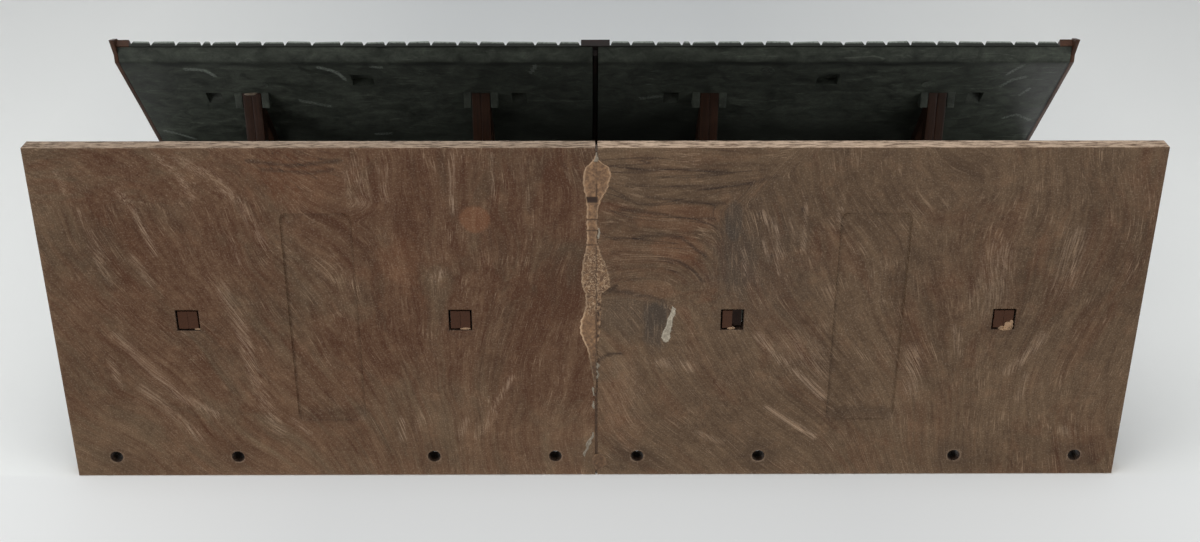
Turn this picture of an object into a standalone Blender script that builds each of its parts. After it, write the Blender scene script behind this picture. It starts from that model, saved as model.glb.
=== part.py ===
# Covered station platform for a 45 mm gauge garden railway, made of two equal sections glued end to end.
# Each section has a thick base plate, two posts that are split in halves and carry a roof truss, and a
# pitched shingle roof with verge boards at the gables. Joint strips close the roof between the sections.
# Units are metres. X runs along the platform, Y across it and +Z is up. The base stands on Z = 0.

import math

import bmesh
import bpy

MM = 0.001
GAP = 0.3 * MM  # clearance kept between neighbouring pieces

# Base plates
PLATE_LENGTH = 300 * MM
PLATE_WIDTH = 204 * MM
PLATE_THICKNESS = 11 * MM
PLATE_EDGE_ROUND = 0.5 * MM
KERB_WIDTH = 20 * MM
PAVING_DEPTH = 0.8 * MM
LABEL_LENGTH = 38 * MM
LABEL_WIDTH = 129 * MM
LABEL_DEPTH = 0.8 * MM
LABEL_CORNER = 5 * MM
PEG_HOLE_DIAMETER = 7 * MM
PEG_HOLE_SIDES = 24
PEG_HOLE_FROM_EDGE = 12.8 * MM
PEG_HOLE_STATIONS = (-126.4 * MM, -56.5 * MM, 56.5 * MM, 126.4 * MM)  # from the plate's middle
GLUE_THICKNESS = 0.6 * MM
GLUE_INSET = 2 * MM

# Posts and trusses
POST_STATIONS = (-225 * MM, -75 * MM, 75 * MM, 225 * MM)
POST_WIDTH = 12 * MM
TENON_RECESS = 0.6 * MM
DEEP_TENON_RECESS = 3.2 * MM  # the one half whose foot sits high in its hole
DEEP_TENON_HALF = "frame_3_right_half"
BEAM_UNDERSIDE = 206.1 * MM
BEAM_DEPTH = 10 * MM
RAFTER_DEPTH = 7 * MM
KING_POST_WIDTH = 9 * MM
BRACE_REACH = 18 * MM  # along the beam and down the post, measured from their corner
BRACE_DEPTH = 6 * MM
BRACE_HALF_WIDTH = 3.6 * MM

# Roof slopes
ROOF_PITCH = math.radians(40.8)
EAVE_CREASE_Y = 87 * MM  # where the sloping underside meets the level soffit
SOFFIT_HEIGHT = 181 * MM
SOFFIT_WIDTH = 11.3 * MM
SLAB_THICKNESS = 6.4 * MM
SHINGLE_BUTT = 4.3 * MM  # height of the lowest course above the slab
SHINGLE_STEP = 1.8 * MM  # rise from one course to the next
SHINGLE_COURSES = 9
PANEL_OUTER_END = 299.6 * MM
PANEL_INNER_END = 1.8 * MM

# Features moulded on the underside of a roof slope, the same for all four
RIB_WIDTH = 4.9 * MM
RIB_LEVEL_LENGTH = 10.6 * MM
NOTCH_WIDTH = 10 * MM
NOTCH_FROM_MIDDLE = 100 * MM  # from the middle of a section
NOTCH_NEAR_Y = 47.5 * MM
NOTCH_FAR_Y = 57.7 * MM
POCKET_WIDTH = 14 * MM
POCKET_NEAR_Y = 65.5 * MM
POCKET_FAR_Y = 75.5 * MM
POCKET_DEPTH = 4.5 * MM

# Verge boards, joint strips and ridge caps
BOARD_THICKNESS = 4.6 * MM  # of the flange that lies on the slab
BOARD_OVERHANG = 0.5 * MM  # past the shingle butts
VERGE_WEB_INNER = 300.35 * MM
VERGE_WEB_OUTER = 303.1 * MM
VERGE_FLANGE_INNER = 292.6 * MM
NOSE_START_Y = 92 * MM
NOSE_TIP_Y = 103.8 * MM
NOSE_TIP_HEIGHT = 175 * MM
NOSE_TOP_RISE = 0.8 * MM  # how far the web's top end stands above the flange
STRIP_WIDTH = 18.1 * MM
STRIP_STEM_WIDTH = 2.8 * MM
STRIP_STEM_DEPTH = 2.8 * MM
RIDGE_CAP_LEG = 18 * MM
RIDGE_CAP_THICKNESS = 1.8 * MM

# Worked out from the above
SIN_PITCH = math.sin(ROOF_PITCH)
COS_PITCH = math.cos(ROOF_PITCH)
RIDGE_UNDERSIDE = SOFFIT_HEIGHT + EAVE_CREASE_Y * math.tan(ROOF_PITCH)
SECTION_MIDDLE = PLATE_LENGTH / 2
SHINGLE_TOP = SLAB_THICKNESS + SHINGLE_BUTT
BOARD_BOTTOM = SLAB_THICKNESS + GAP
BOARD_TOP = BOARD_BOTTOM + BOARD_THICKNESS
SHINGLE_FIRST_X = STRIP_WIDTH / 2 + GAP
SHINGLE_LAST_X = VERGE_FLANGE_INNER - GAP
SOFFIT_EDGE = (EAVE_CREASE_Y + SOFFIT_WIDTH, SOFFIT_HEIGHT)
EAVE_DISTANCE = SOFFIT_EDGE[0] * COS_PITCH + (RIDGE_UNDERSIDE - SOFFIT_HEIGHT) * SIN_PITCH
BOARD_END_DISTANCE = EAVE_DISTANCE + BOARD_OVERHANG

BASE_BROWN = (0.225, 0.135, 0.070)
GLUE_TAN = (0.420, 0.245, 0.120)
POST_RED_BROWN = (0.135, 0.040, 0.018)
ROOF_GREEN_GREY = (0.045, 0.052, 0.046)
TRIM_BROWN = (0.095, 0.035, 0.022)
MATT = 0.6
SATIN = 0.5


def clear_scene():
    for obj in list(bpy.data.objects):
        bpy.data.objects.remove(obj, do_unlink=True)


def plastic(name, colour, roughness):
    """A moulded plastic with one colour."""
    material = bpy.data.materials.new(name)
    material.use_nodes = True
    shader = material.node_tree.nodes["Principled BSDF"]
    shader.inputs["Base Color"].default_value = (*colour, 1)
    shader.inputs["Roughness"].default_value = roughness
    shader.inputs["Metallic"].default_value = 0
    return material


def add_prism(bm, outline, axis, low, high, holes=()):
    """Extrude a flat outline, with any holes, from low to high along X or Z.

    Outline points are (y, z) for an extrusion along X and (x, y) for one along Z.
    """
    edges = []
    for loop in (outline, *holes):
        if axis == "X":
            verts = [bm.verts.new((low, a, b)) for a, b in loop]
        else:
            verts = [bm.verts.new((a, b, low)) for a, b in loop]
        edges += [bm.edges.new((verts[i - 1], verts[i])) for i in range(len(verts))]
    filled = bmesh.ops.triangle_fill(bm, use_beauty=True, edges=edges)
    faces = [item for item in filled["geom"] if isinstance(item, bmesh.types.BMFace)]
    grown = bmesh.ops.extrude_face_region(bm, geom=faces)
    moved = [item for item in grown["geom"] if isinstance(item, bmesh.types.BMVert)]
    travel = (high - low, 0, 0) if axis == "X" else (0, 0, high - low)
    bmesh.ops.translate(bm, vec=travel, verts=moved)


def rectangle(a_low, b_low, a_high, b_high):
    return [(a_low, b_low), (a_high, b_low), (a_high, b_high), (a_low, b_high)]


def circle(a, b, radius, sides):
    turns = [2 * math.pi * i / sides for i in range(sides)]
    return [(a + radius * math.cos(t), b + radius * math.sin(t)) for t in turns]


def rounded_rectangle(length, width, radius, a, b, arc_points=6):
    """A rectangle about (a, b) with quarter circles at its corners."""
    points = []
    for corner in range(4):
        start = corner * math.pi / 2
        side_a = 1 if corner in (0, 3) else -1
        side_b = 1 if corner in (0, 1) else -1
        middle_a = a + side_a * (length / 2 - radius)
        middle_b = b + side_b * (width / 2 - radius)
        for i in range(arc_points):
            turn = start + math.pi / 2 * i / (arc_points - 1)
            points.append((middle_a + radius * math.cos(turn), middle_b + radius * math.sin(turn)))
    return points


def to_object(name, bm, material=None):
    """Close a bmesh into a named object. Without a material it is a hidden tool for a Boolean."""
    bmesh.ops.recalc_face_normals(bm, faces=bm.faces)
    mesh = bpy.data.meshes.new(name)
    bm.to_mesh(mesh)
    bm.free()
    obj = bpy.data.objects.new(name, mesh)
    bpy.context.scene.collection.objects.link(obj)
    if material:
        mesh.materials.append(material)
    else:
        obj.hide_render = True
        obj.display_type = "WIRE"
    return obj


def combine(obj, tool, operation):
    modifier = obj.modifiers.new(tool.name, "BOOLEAN")
    modifier.operation = operation
    modifier.solver = "EXACT"
    modifier.object = tool


def on_slope(distance, offset):
    """The point that lies a distance down the slope from the ridge and an offset above its underside."""
    y = distance * COS_PITCH + offset * SIN_PITCH
    z = RIDGE_UNDERSIDE - distance * SIN_PITCH + offset * COS_PITCH
    return y, z


def slope_distance(y, z):
    """How far down the slope from the ridge a point lies."""
    return y * COS_PITCH + (RIDGE_UNDERSIDE - z) * SIN_PITCH


def slope_at_y(y, offset):
    """The point at a given distance from the ridge plane, on a line parallel to the underside."""
    return on_slope((y - offset * SIN_PITCH) / COS_PITCH, offset)


def slope_at_height(z, offset):
    """The point at a given height, on a line parallel to the underside."""
    return on_slope((RIDGE_UNDERSIDE + offset * COS_PITCH - z) / SIN_PITCH, offset)


def on_side(points, side):
    """Place an outline that was drawn for +Y on the back slope (side 1) or on the front slope (side -1)."""
    return [(side * y, z) for y, z in points]


def make_base_plate(name, side, material):
    """One plate: posts' square holes, peg holes along one edge, a bare label recess and a paved top."""
    low = GLUE_THICKNESS / 2 + GAP
    bm = bmesh.new()
    half = PLATE_WIDTH / 2
    x_low, x_high = sorted((side * low, side * PLATE_LENGTH))
    add_prism(bm, rectangle(x_low, -half, x_high, half), "Z", 0, PLATE_THICKNESS)
    bmesh.ops.recalc_face_normals(bm, faces=bm.faces)
    flat_angle = math.radians(1)
    corners = [edge for edge in bm.edges if edge.calc_face_angle(0) > flat_angle]
    bmesh.ops.bevel(bm, geom=corners, offset=PLATE_EDGE_ROUND, segments=2, profile=0.5, affect="EDGES")
    plate = to_object(name, bm, material)

    middle = side * SECTION_MIDDLE
    past = 1 * MM
    bm = bmesh.new()
    hole_half = POST_WIDTH / 2 + GAP
    for station in POST_STATIONS:
        if station * side > 0:
            square = rectangle(station - hole_half, -hole_half, station + hole_half, hole_half)
            add_prism(bm, square, "Z", -past, PLATE_THICKNESS + past)
    for station in PEG_HOLE_STATIONS:
        ring = circle(middle + station, half - PEG_HOLE_FROM_EDGE, PEG_HOLE_DIAMETER / 2, PEG_HOLE_SIDES)
        add_prism(bm, ring, "Z", -past, PLATE_THICKNESS + past)
    combine(plate, to_object(f"{name}_hole_tool", bm), "DIFFERENCE")

    bm = bmesh.new()
    label = rounded_rectangle(LABEL_LENGTH, LABEL_WIDTH, LABEL_CORNER, middle, 0)
    add_prism(bm, label, "Z", -past, LABEL_DEPTH)
    field = half - KERB_WIDTH
    paving = rectangle(x_low - past, -field, x_high + past, field)
    add_prism(bm, paving, "Z", PLATE_THICKNESS - PAVING_DEPTH, PLATE_THICKNESS + past)
    combine(plate, to_object(f"{name}_recess_tool", bm), "DIFFERENCE")


def make_joint_glue(material):
    """The slab of dried glue that fills the butt joint of the two plates."""
    bm = bmesh.new()
    half = PLATE_WIDTH / 2 - GLUE_INSET
    outline = rectangle(-GLUE_THICKNESS / 2, -half, GLUE_THICKNESS / 2, half)
    add_prism(bm, outline, "Z", PLATE_EDGE_ROUND, PLATE_THICKNESS - PAVING_DEPTH - PLATE_EDGE_ROUND)
    to_object("joint_glue", bm, material)


def make_frame_half(name, station, side, material):
    """Half of a post with its tie beam, rafters and king post, and a narrower pair of knee braces."""
    foot = DEEP_TENON_RECESS if name == DEEP_TENON_HALF else TENON_RECESS
    post = POST_WIDTH / 2
    top_clear = -GAP  # the rafters stop this far under the roof
    beam_end = slope_at_height(BEAM_UNDERSIDE, top_clear)
    ridge = slope_at_y(0, top_clear)
    right_side = [(post, foot), (post, BEAM_UNDERSIDE), beam_end]
    outline = right_side + [ridge] + [(-y, z) for y, z in reversed(right_side)]

    king = KING_POST_WIDTH / 2
    beam_top = BEAM_UNDERSIDE + BEAM_DEPTH
    rafter_under = top_clear - RAFTER_DEPTH
    opening = [(king, beam_top), slope_at_height(beam_top, rafter_under), slope_at_y(king, rafter_under)]
    x_low, x_high = sorted((station + side * GAP / 2, station + side * post))
    bm = bmesh.new()
    add_prism(bm, outline, "X", x_low, x_high, holes=(opening, on_side(opening, -1)))
    frame = to_object(name, bm, material)

    sunk = 1 * MM  # how far the braces run into the post and the beam
    brace_span = BRACE_DEPTH * math.sqrt(2)
    far = post + BRACE_REACH
    low = BEAM_UNDERSIDE - BRACE_REACH
    brace = [
        (post - sunk, low - sunk),
        (far + sunk, BEAM_UNDERSIDE + sunk),
        (far + sunk - brace_span, BEAM_UNDERSIDE + sunk),
        (post - sunk, low - sunk + brace_span),
    ]
    x_low, x_high = sorted((station + side * GAP / 2, station + side * BRACE_HALF_WIDTH))
    bm = bmesh.new()
    for direction in (1, -1):
        add_prism(bm, on_side(brace, direction), "X", x_low, x_high)
    combine(frame, to_object(f"{name}_brace_tool", bm), "UNION")


def shingle_profile():
    """Section through the shingle courses for +Y, from the soffit's edge up to the ridge and back inside."""
    top_start = slope_distance(*slope_at_y(GAP / 2, SHINGLE_TOP))
    exposure = (EAVE_DISTANCE - top_start) / SHINGLE_COURSES
    points = [SOFFIT_EDGE]
    for course in range(SHINGLE_COURSES):
        butt = EAVE_DISTANCE - course * exposure
        points.append(on_slope(butt, SHINGLE_TOP))
        if course < SHINGLE_COURSES - 1:
            points.append(on_slope(butt - exposure, SHINGLE_TOP - SHINGLE_STEP))
    inside = SLAB_THICKNESS / 2
    points.append(slope_at_y(GAP / 2, SHINGLE_TOP - SHINGLE_STEP))
    points.append(slope_at_y(GAP / 2, inside))
    points.append(slope_at_y(EAVE_CREASE_Y, inside))
    return points


def make_roof_panel(name, end, side, material):
    """One thick roof slope with stepped shingle courses, locating ribs, seat notches and a pocket."""
    slab = [
        slope_at_y(GAP / 2, 0),
        (EAVE_CREASE_Y, SOFFIT_HEIGHT),
        slope_at_height(SOFFIT_HEIGHT, SLAB_THICKNESS),
        slope_at_y(GAP / 2, SLAB_THICKNESS),
    ]
    bm = bmesh.new()
    add_prism(bm, on_side(slab, side), "X", *sorted((end * PANEL_INNER_END, end * PANEL_OUTER_END)))
    panel = to_object(name, bm, material)

    bm = bmesh.new()
    shingles = on_side(shingle_profile(), side)
    add_prism(bm, shingles, "X", *sorted((end * SHINGLE_FIRST_X, end * SHINGLE_LAST_X)))
    combine(panel, to_object(f"{name}_shingle_tool", bm), "UNION")

    # A pair of ribs holds each tie beam's end. Their level undersides are flush with the beam's.
    sunk = 1 * MM
    rib_near = slope_at_height(BEAM_UNDERSIDE, 0)[0] - RIB_LEVEL_LENGTH
    rib = [
        slope_at_height(BEAM_UNDERSIDE, sunk),
        (rib_near, BEAM_UNDERSIDE),
        slope_at_y(rib_near, sunk),
    ]
    bm = bmesh.new()
    inner = POST_WIDTH / 2 + GAP
    for station in POST_STATIONS:
        if station * end > 0:
            for direction in (1, -1):
                near = station + direction * inner
                far = near + direction * RIB_WIDTH
                add_prism(bm, on_side(rib, side), "X", *sorted((near, far)))
    combine(panel, to_object(f"{name}_rib_tool", bm), "UNION")

    # Each seat notch has a level floor and plumb walls. The pocket's walls stand square to the slope.
    past = 2 * MM
    bm = bmesh.new()
    floor = slope_at_y(NOTCH_NEAR_Y, 0)[1]
    mouth = slope_at_y(NOTCH_FAR_Y, 0)[1] - past
    notch = rectangle(NOTCH_NEAR_Y, mouth, NOTCH_FAR_Y, floor)
    middle = end * SECTION_MIDDLE
    for station in (middle - NOTCH_FROM_MIDDLE, middle + NOTCH_FROM_MIDDLE):
        add_prism(bm, on_side(notch, side), "X", station - NOTCH_WIDTH / 2, station + NOTCH_WIDTH / 2)
    pocket_near = slope_distance(*slope_at_y(POCKET_NEAR_Y, 0))
    pocket_far = slope_distance(*slope_at_y(POCKET_FAR_Y, 0))
    pocket = [on_slope(d, o) for d, o in rectangle(pocket_near, -past, pocket_far, POCKET_DEPTH)]
    add_prism(bm, on_side(pocket, side), "X", middle - POCKET_WIDTH / 2, middle + POCKET_WIDTH / 2)
    combine(panel, to_object(f"{name}_notch_tool", bm), "DIFFERENCE")


def flange_outline():
    """Section of a board that lies on the slab from the ridge to just past the shingle butts, for +Y."""
    return [
        slope_at_y(GAP / 2, BOARD_BOTTOM),
        on_slope(BOARD_END_DISTANCE, BOARD_BOTTOM),
        on_slope(BOARD_END_DISTANCE, BOARD_TOP),
        slope_at_y(GAP / 2, BOARD_TOP),
    ]


def make_verge_trim(name, end, side, material):
    """An L-shaped verge board: a web over the panels' end with a drooping nose, and a flange on the slab."""
    web = [
        slope_at_y(GAP / 2, 0),
        (EAVE_CREASE_Y, SOFFIT_HEIGHT),
        (NOSE_START_Y, SOFFIT_HEIGHT),
        (NOSE_TIP_Y, NOSE_TIP_HEIGHT),
        on_slope(BOARD_END_DISTANCE, BOARD_TOP + NOSE_TOP_RISE),
        slope_at_y(GAP / 2, BOARD_TOP),
    ]
    bm = bmesh.new()
    add_prism(bm, on_side(web, side), "X", *sorted((end * VERGE_WEB_INNER, end * VERGE_WEB_OUTER)))
    trim = to_object(name, bm, material)
    bm = bmesh.new()
    sunk = VERGE_WEB_INNER + 1 * MM
    add_prism(bm, on_side(flange_outline(), side), "X", *sorted((end * VERGE_FLANGE_INNER, end * sunk)))
    combine(trim, to_object(f"{name}_flange_tool", bm), "UNION")


def make_joint_strip(name, side, material):
    """A T-shaped strip whose stem drops into the gap between the two sections' roof panels."""
    bm = bmesh.new()
    add_prism(bm, on_side(flange_outline(), side), "X", -STRIP_WIDTH / 2, STRIP_WIDTH / 2)
    strip = to_object(name, bm, material)
    low = SLAB_THICKNESS - STRIP_STEM_DEPTH
    sunk = BOARD_BOTTOM + 1 * MM
    clear_of_soffit = SOFFIT_HEIGHT + 1 * MM
    stem = [
        slope_at_y(GAP / 2, low),
        slope_at_height(clear_of_soffit, low),
        on_slope(EAVE_DISTANCE - STRIP_STEM_DEPTH, sunk),
        slope_at_y(GAP / 2, sunk),
    ]
    bm = bmesh.new()
    add_prism(bm, on_side(stem, side), "X", -STRIP_STEM_WIDTH / 2, STRIP_STEM_WIDTH / 2)
    combine(strip, to_object(f"{name}_stem_tool", bm), "UNION")


def make_ridge_cap(name, end, material):
    """An angle that covers the top courses of both slopes between the end boards."""
    low = SHINGLE_TOP + GAP
    high = low + RIDGE_CAP_THICKNESS
    apex_low = slope_at_y(0, low)
    apex_high = slope_at_y(0, high)
    leg_end = slope_distance(*apex_low) + RIDGE_CAP_LEG
    leg = [on_slope(leg_end, low), on_slope(leg_end, high)]
    outline = [apex_low, *leg, apex_high, *on_side(reversed(leg), -1)]
    bm = bmesh.new()
    add_prism(bm, outline, "X", *sorted((end * SHINGLE_FIRST_X, end * SHINGLE_LAST_X)))
    to_object(name, bm, material)


def main():
    clear_scene()
    ends = {"left": -1, "right": 1}
    sides = {"front": -1, "back": 1}

    make_joint_glue(plastic("joint_glue", GLUE_TAN, SATIN))
    for number, station in enumerate(POST_STATIONS, start=1):
        for end_name, end in ends.items():
            name = f"frame_{number}_{end_name}_half"
            make_frame_half(name, station, end, plastic(name, POST_RED_BROWN, SATIN))
    for end_name, end in ends.items():
        name = f"base_plate_{end_name}"
        make_base_plate(name, end, plastic(name, BASE_BROWN, MATT))
        name = f"ridge_cap_{end_name}"
        make_ridge_cap(name, end, plastic(name, TRIM_BROWN, SATIN))
        for side_name, side in sides.items():
            name = f"roof_panel_{end_name}_{side_name}"
            make_roof_panel(name, end, side, plastic(name, ROOF_GREEN_GREY, MATT))
            name = f"verge_trim_{end_name}_{side_name}"
            make_verge_trim(name, end, side, plastic(name, TRIM_BROWN, SATIN))
    for side_name, side in sides.items():
        name = f"roof_joint_strip_{side_name}"
        make_joint_strip(name, side, plastic(name, TRIM_BROWN, SATIN))


main()
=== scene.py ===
import functools
import math

import bmesh
import bpy
import mathutils
import numpy as np
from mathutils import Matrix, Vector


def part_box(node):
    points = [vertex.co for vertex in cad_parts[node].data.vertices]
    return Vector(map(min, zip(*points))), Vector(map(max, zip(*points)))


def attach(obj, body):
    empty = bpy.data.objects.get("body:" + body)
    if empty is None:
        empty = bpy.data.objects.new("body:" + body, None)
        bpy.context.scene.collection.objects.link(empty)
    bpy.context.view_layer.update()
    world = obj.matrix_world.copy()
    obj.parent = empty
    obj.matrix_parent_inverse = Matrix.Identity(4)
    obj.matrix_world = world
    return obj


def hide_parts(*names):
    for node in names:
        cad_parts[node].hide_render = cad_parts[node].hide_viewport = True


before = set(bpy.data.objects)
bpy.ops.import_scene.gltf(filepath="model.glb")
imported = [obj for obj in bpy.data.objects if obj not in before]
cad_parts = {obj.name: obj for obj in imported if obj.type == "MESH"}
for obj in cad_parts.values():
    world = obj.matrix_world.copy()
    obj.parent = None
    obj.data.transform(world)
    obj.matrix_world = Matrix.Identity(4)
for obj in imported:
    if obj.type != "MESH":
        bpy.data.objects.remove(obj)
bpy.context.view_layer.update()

# Covered station platform, seen from below. All lengths are millimetres until a mesh is made.
# X runs along the platform, Y across it, Z up. The photo's upper edge is the -Y side.
mm = 0.001
ends = {"left": -1, "right": 1}
sides = {"front": -1, "back": 1}


def linear(hexColour):
    # sRGB hex to linear light, opaque
    parts = [int(hexColour[i:i + 2], 16) / 255 for i in (1, 3, 5)]
    return (*[p / 12.92 if p <= 0.04045 else ((p + 0.055) / 1.055) ** 2.4 for p in parts], 1)


def addNode(tree, kind, *values, out=None, **named):
    # one node; kind may name its operation too. Values feed its inputs in order, named ones are settings or
    # go to the input of that name. Each is a number, a hex colour or the socket that feeds it.
    kind, _, operation = kind.partition(" ")
    node = tree.nodes.new("ShaderNode" + kind)
    if operation:
        node.operation = operation
    if kind == "Mix":
        node.data_type = "RGBA"        # every mix here is of colours
    inputs = {socket.name.replace(" ", "").lower(): socket for socket in node.inputs}
    for name in [name for name in named if name.lower() not in inputs]:
        setattr(node, name, named.pop(name))
    fed = list(zip([socket for socket in node.inputs if socket.enabled], values))
    for socket, value in fed + [(inputs[name.lower()], value) for name, value in named.items()]:
        if isinstance(value, bpy.types.NodeSocket):
            tree.links.new(value, socket)
        else:
            socket.default_value = linear(value) if isinstance(value, str) else value
    return node.outputs[out] if out else next((socket for socket in node.outputs if socket.enabled), None)


def newMaterial(name):
    # an empty material, and addNode for its tree
    material = bpy.data.materials.new(name)
    material.use_nodes = True
    material.node_tree.nodes.clear()
    return material, functools.partial(addNode, material.node_tree)


def finishPlastic(add, colour, roughness, relief, bump, specular=0.18, ior=1.5):
    # bump is its strength and its depth in millimetres
    normal = add("Bump", strength=bump[0], distance=bump[1] * mm, height=relief)
    shader = add("BsdfPrincipled", baseColor=colour, roughness=roughness, normal=normal, ior=ior,
                 specularIorLevel=specular)
    add("OutputMaterial", shader)


def ease(value, low, high):
    # smooth step from 0 at low to 1 at high
    t = np.clip((value - low) / (high - low), 0, 1)
    return t * t * (3 - 2 * t)


def ripple(a, b, size, seed, waves=9):
    # smooth seeded noise of about -1 to 1: a sum of plane waves in random directions
    draw = np.random.default_rng(seed)
    turns, phases = draw.uniform(0, 2 * np.pi, (2, waves))
    lengths = size * draw.uniform(0.6, 1.7, waves)
    total = 0
    for turn, phase, length in zip(turns, phases, lengths):
        total = total + np.sin(2 * np.pi / length * (a * np.cos(turn) + b * np.sin(turn)) + phase)
    return total / np.sqrt(waves)


def gridQuads(rows, columns, ring=False):
    # corner numbers of the quads of a grid stored row by row; ring joins the last column to the first
    i, j = np.meshgrid(np.arange(rows - 1), np.arange(columns if ring else columns - 1), indexing="ij")
    k = (j + 1) % columns
    corners = [i * columns + j, i * columns + k, (i + 1) * columns + k, (i + 1) * columns + j]
    return np.stack(corners, -1).reshape(-1, 4)


def tubeFaces(rows, columns):
    # faces of a closed tube: rows of closed loops and a cap at each end
    loop = np.arange(columns)[None]
    return [gridQuads(rows, columns, ring=True), loop, loop + (rows - 1) * columns]


def wallLines(low, high, step, walls, apart, clear):
    # even lines from low to high, and a close pair at each wall
    lines = np.linspace(low, high, round((high - low) / step) + 1)
    pairs = np.array([[at - apart, at + apart] for at in walls]).ravel()
    return np.sort(np.concatenate([lines[np.abs(lines[:, None] - pairs).min(1) > clear], pairs]))


def between(stops, gap):
    # middles and half lengths of what lies between stops, with a gap at each
    return (stops[1:] + stops[:-1]) / 2, (stops[1:] - stops[:-1] - gap) / 2


def evenMarks(points, **marks):
    # the same marks all over a shell
    return {key: np.full(len(points), value) for key, value in marks.items()}


def addPiece(name, shells, material, replaced=(), sharp=38):
    # shells are (points, list of face arrays, point attributes); they become one mesh, in metres
    faces, first = [], 0
    for points, groups, _ in shells:
        for group in groups:
            faces += (np.asarray(group) + first).tolist()
        first += len(points)
    mesh = bpy.data.meshes.new(name)
    mesh.from_pydata((np.concatenate([shell[0] for shell in shells]) * mm).tolist(), [], faces)
    outward = bmesh.new()
    outward.from_mesh(mesh)
    bmesh.ops.recalc_face_normals(outward, faces=outward.faces)
    outward.to_mesh(mesh)
    outward.free()
    for key in shells[0][2]:
        values = np.concatenate([shell[2][key] for shell in shells]).astype(np.float32)
        kind, field = ("FLOAT_VECTOR", "vector") if values.ndim == 2 else ("FLOAT", "value")
        mesh.attributes.new(key, kind, "POINT").data.foreach_set(field, values.ravel())
    mesh.shade_smooth()
    mesh.set_sharp_from_angle(angle=math.radians(sharp))
    mesh.materials.append(material)
    piece = bpy.data.objects.new(name, mesh)
    bpy.context.scene.collection.objects.link(piece)
    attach(piece, "root")
    if replaced:
        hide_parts(*replaced)


def roundedLoop(width, depth, radius, faceStep):
    # points round a rectangle from (0, 0) to (width, depth) with rounded corners, and outward directions
    right, top = width - radius, depth - radius
    points, outward = [], []
    for index, middle in enumerate([(radius, radius), (right, radius), (right, top), (radius, top)]):
        turn = np.pi + index * np.pi / 2 + np.linspace(0, np.pi / 2, 4)
        direction = np.stack([np.cos(turn), np.sin(turn)], 1)
        run = (width if index % 2 == 0 else depth) - 2 * radius
        inner = np.linspace(0, run, max(2, round(run / faceStep) + 1))[1:-1, None]
        forward = np.array([-direction[-1, 1], direction[-1, 0]])
        arc = np.array(middle) + radius * direction
        points += [arc, arc[-1] + inner * forward]
        outward += [direction, np.repeat(direction[-1:], len(inner), 0)]
    return np.concatenate(points), np.concatenate(outward)


def bar(corner, across, deep, radius, seed, faceStep=1.4, grain=0.09, grainAcross=2.2, grainAlong=45):
    # a bar of rectangular section: each row along it is corner + a * across + b * deep, with rounded edges.
    # Moulded grain moves the surface by long ripples that run along the bar.
    width, depth = (np.linalg.norm(v, axis=1).mean() for v in (across, deep))
    loop, outward = roundedLoop(width, depth, radius, faceStep)
    units = [v / np.linalg.norm(v, axis=1, keepdims=True) for v in (across, deep)]
    a, b = loop[:, 0, None] / width, loop[:, 1, None] / depth
    points = corner[:, None] + a * across[:, None] + b * deep[:, None]
    normal = outward[:, 0, None] * units[0][:, None] + outward[:, 1, None] * units[1][:, None]
    u, v = np.meshgrid(*[np.concatenate([[0], np.cumsum(np.linalg.norm(np.diff(line, axis=0), axis=1))])
                         for line in (points.mean(1), loop)], indexing="ij")
    relief = 0.6 * ripple(v, u * grainAcross / grainAlong, grainAcross, seed)
    relief = relief + 0.4 * ripple(v, u * 0.1, 7, seed + 1)
    points = points + (grain * (relief - 0.6))[..., None] * normal
    flow = np.stack([v + 37 * (seed % 23), u, np.full_like(u, seed % 17)], -1)
    return points.reshape(-1, 3), tubeFaces(*u.shape), {"flow": flow.reshape(-1, 3)}


def pathBar(low, high, xLow, xHigh, radius, seed, **settings):
    # a bar whose low and high edges follow two paths of (y, z) points between xLow and xHigh
    none = np.zeros(len(low))
    across, deep = np.column_stack([none + xHigh - xLow, none, none]), np.column_stack([none, high - low])
    return bar(np.column_stack([none + xLow, low]), across, deep, radius, seed, **settings)


def flatBar(start, end, xLow, xHigh, radius, seed, step=4, **settings):
    # a straight bar in a plane of constant X: start and end each give its low and high corner as (y, z)
    start, end = np.array(start, float), np.array(end, float)
    rows = max(2, round(np.linalg.norm(end.mean(0) - start.mean(0)) / step) + 1)
    low, high = (a + (b - a) * np.linspace(0, 1, rows)[:, None] for a, b in zip(start, end))
    return pathBar(low, high, xLow, xHigh, radius, seed, **settings)


def pillows(middle, half, corner, rounding, height, slanted=False):
    # many blocks at once. Each has four rings of eight points: a rectangle with cut corners that draws in
    # towards its top, evenly where it is slanted. Gives plan positions, lift from 0 to 1, and faces.
    drawnIn = np.array([0, 0.35, 0.75, 1] if slanted else [0, 0.08, 0.35, 1])[None, :, None] * rounding
    soft = rounding / height
    lift = np.array([0, 0.45, 0.85, 1] if slanted else [0, 1 - soft, 1 - 0.3 * soft, 1])
    signA, cutA = np.array([1, 1, 1, -1, -1, -1, -1, 1]), np.array([0, 0, 1, 1, 0, 0, 1, 1])
    signB, cutB = np.array([-1, 1, 1, 1, 1, -1, -1, -1]), 1 - cutA
    a = middle[:, 0, None, None] + signA * (half[:, 0, None, None] - drawnIn - cutA * corner)
    b = middle[:, 1, None, None] + signB * (half[:, 1, None, None] - drawnIn - cutB * corner)
    lift = np.broadcast_to(lift[None, :, None], a.shape)
    first = 32 * np.arange(len(middle))[:, None]
    quads = (gridQuads(4, 8, ring=True)[None] + first[..., None]).reshape(-1, 4)
    return a, b, lift, [quads, np.arange(8) + first, np.arange(24, 32) + first]


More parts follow.
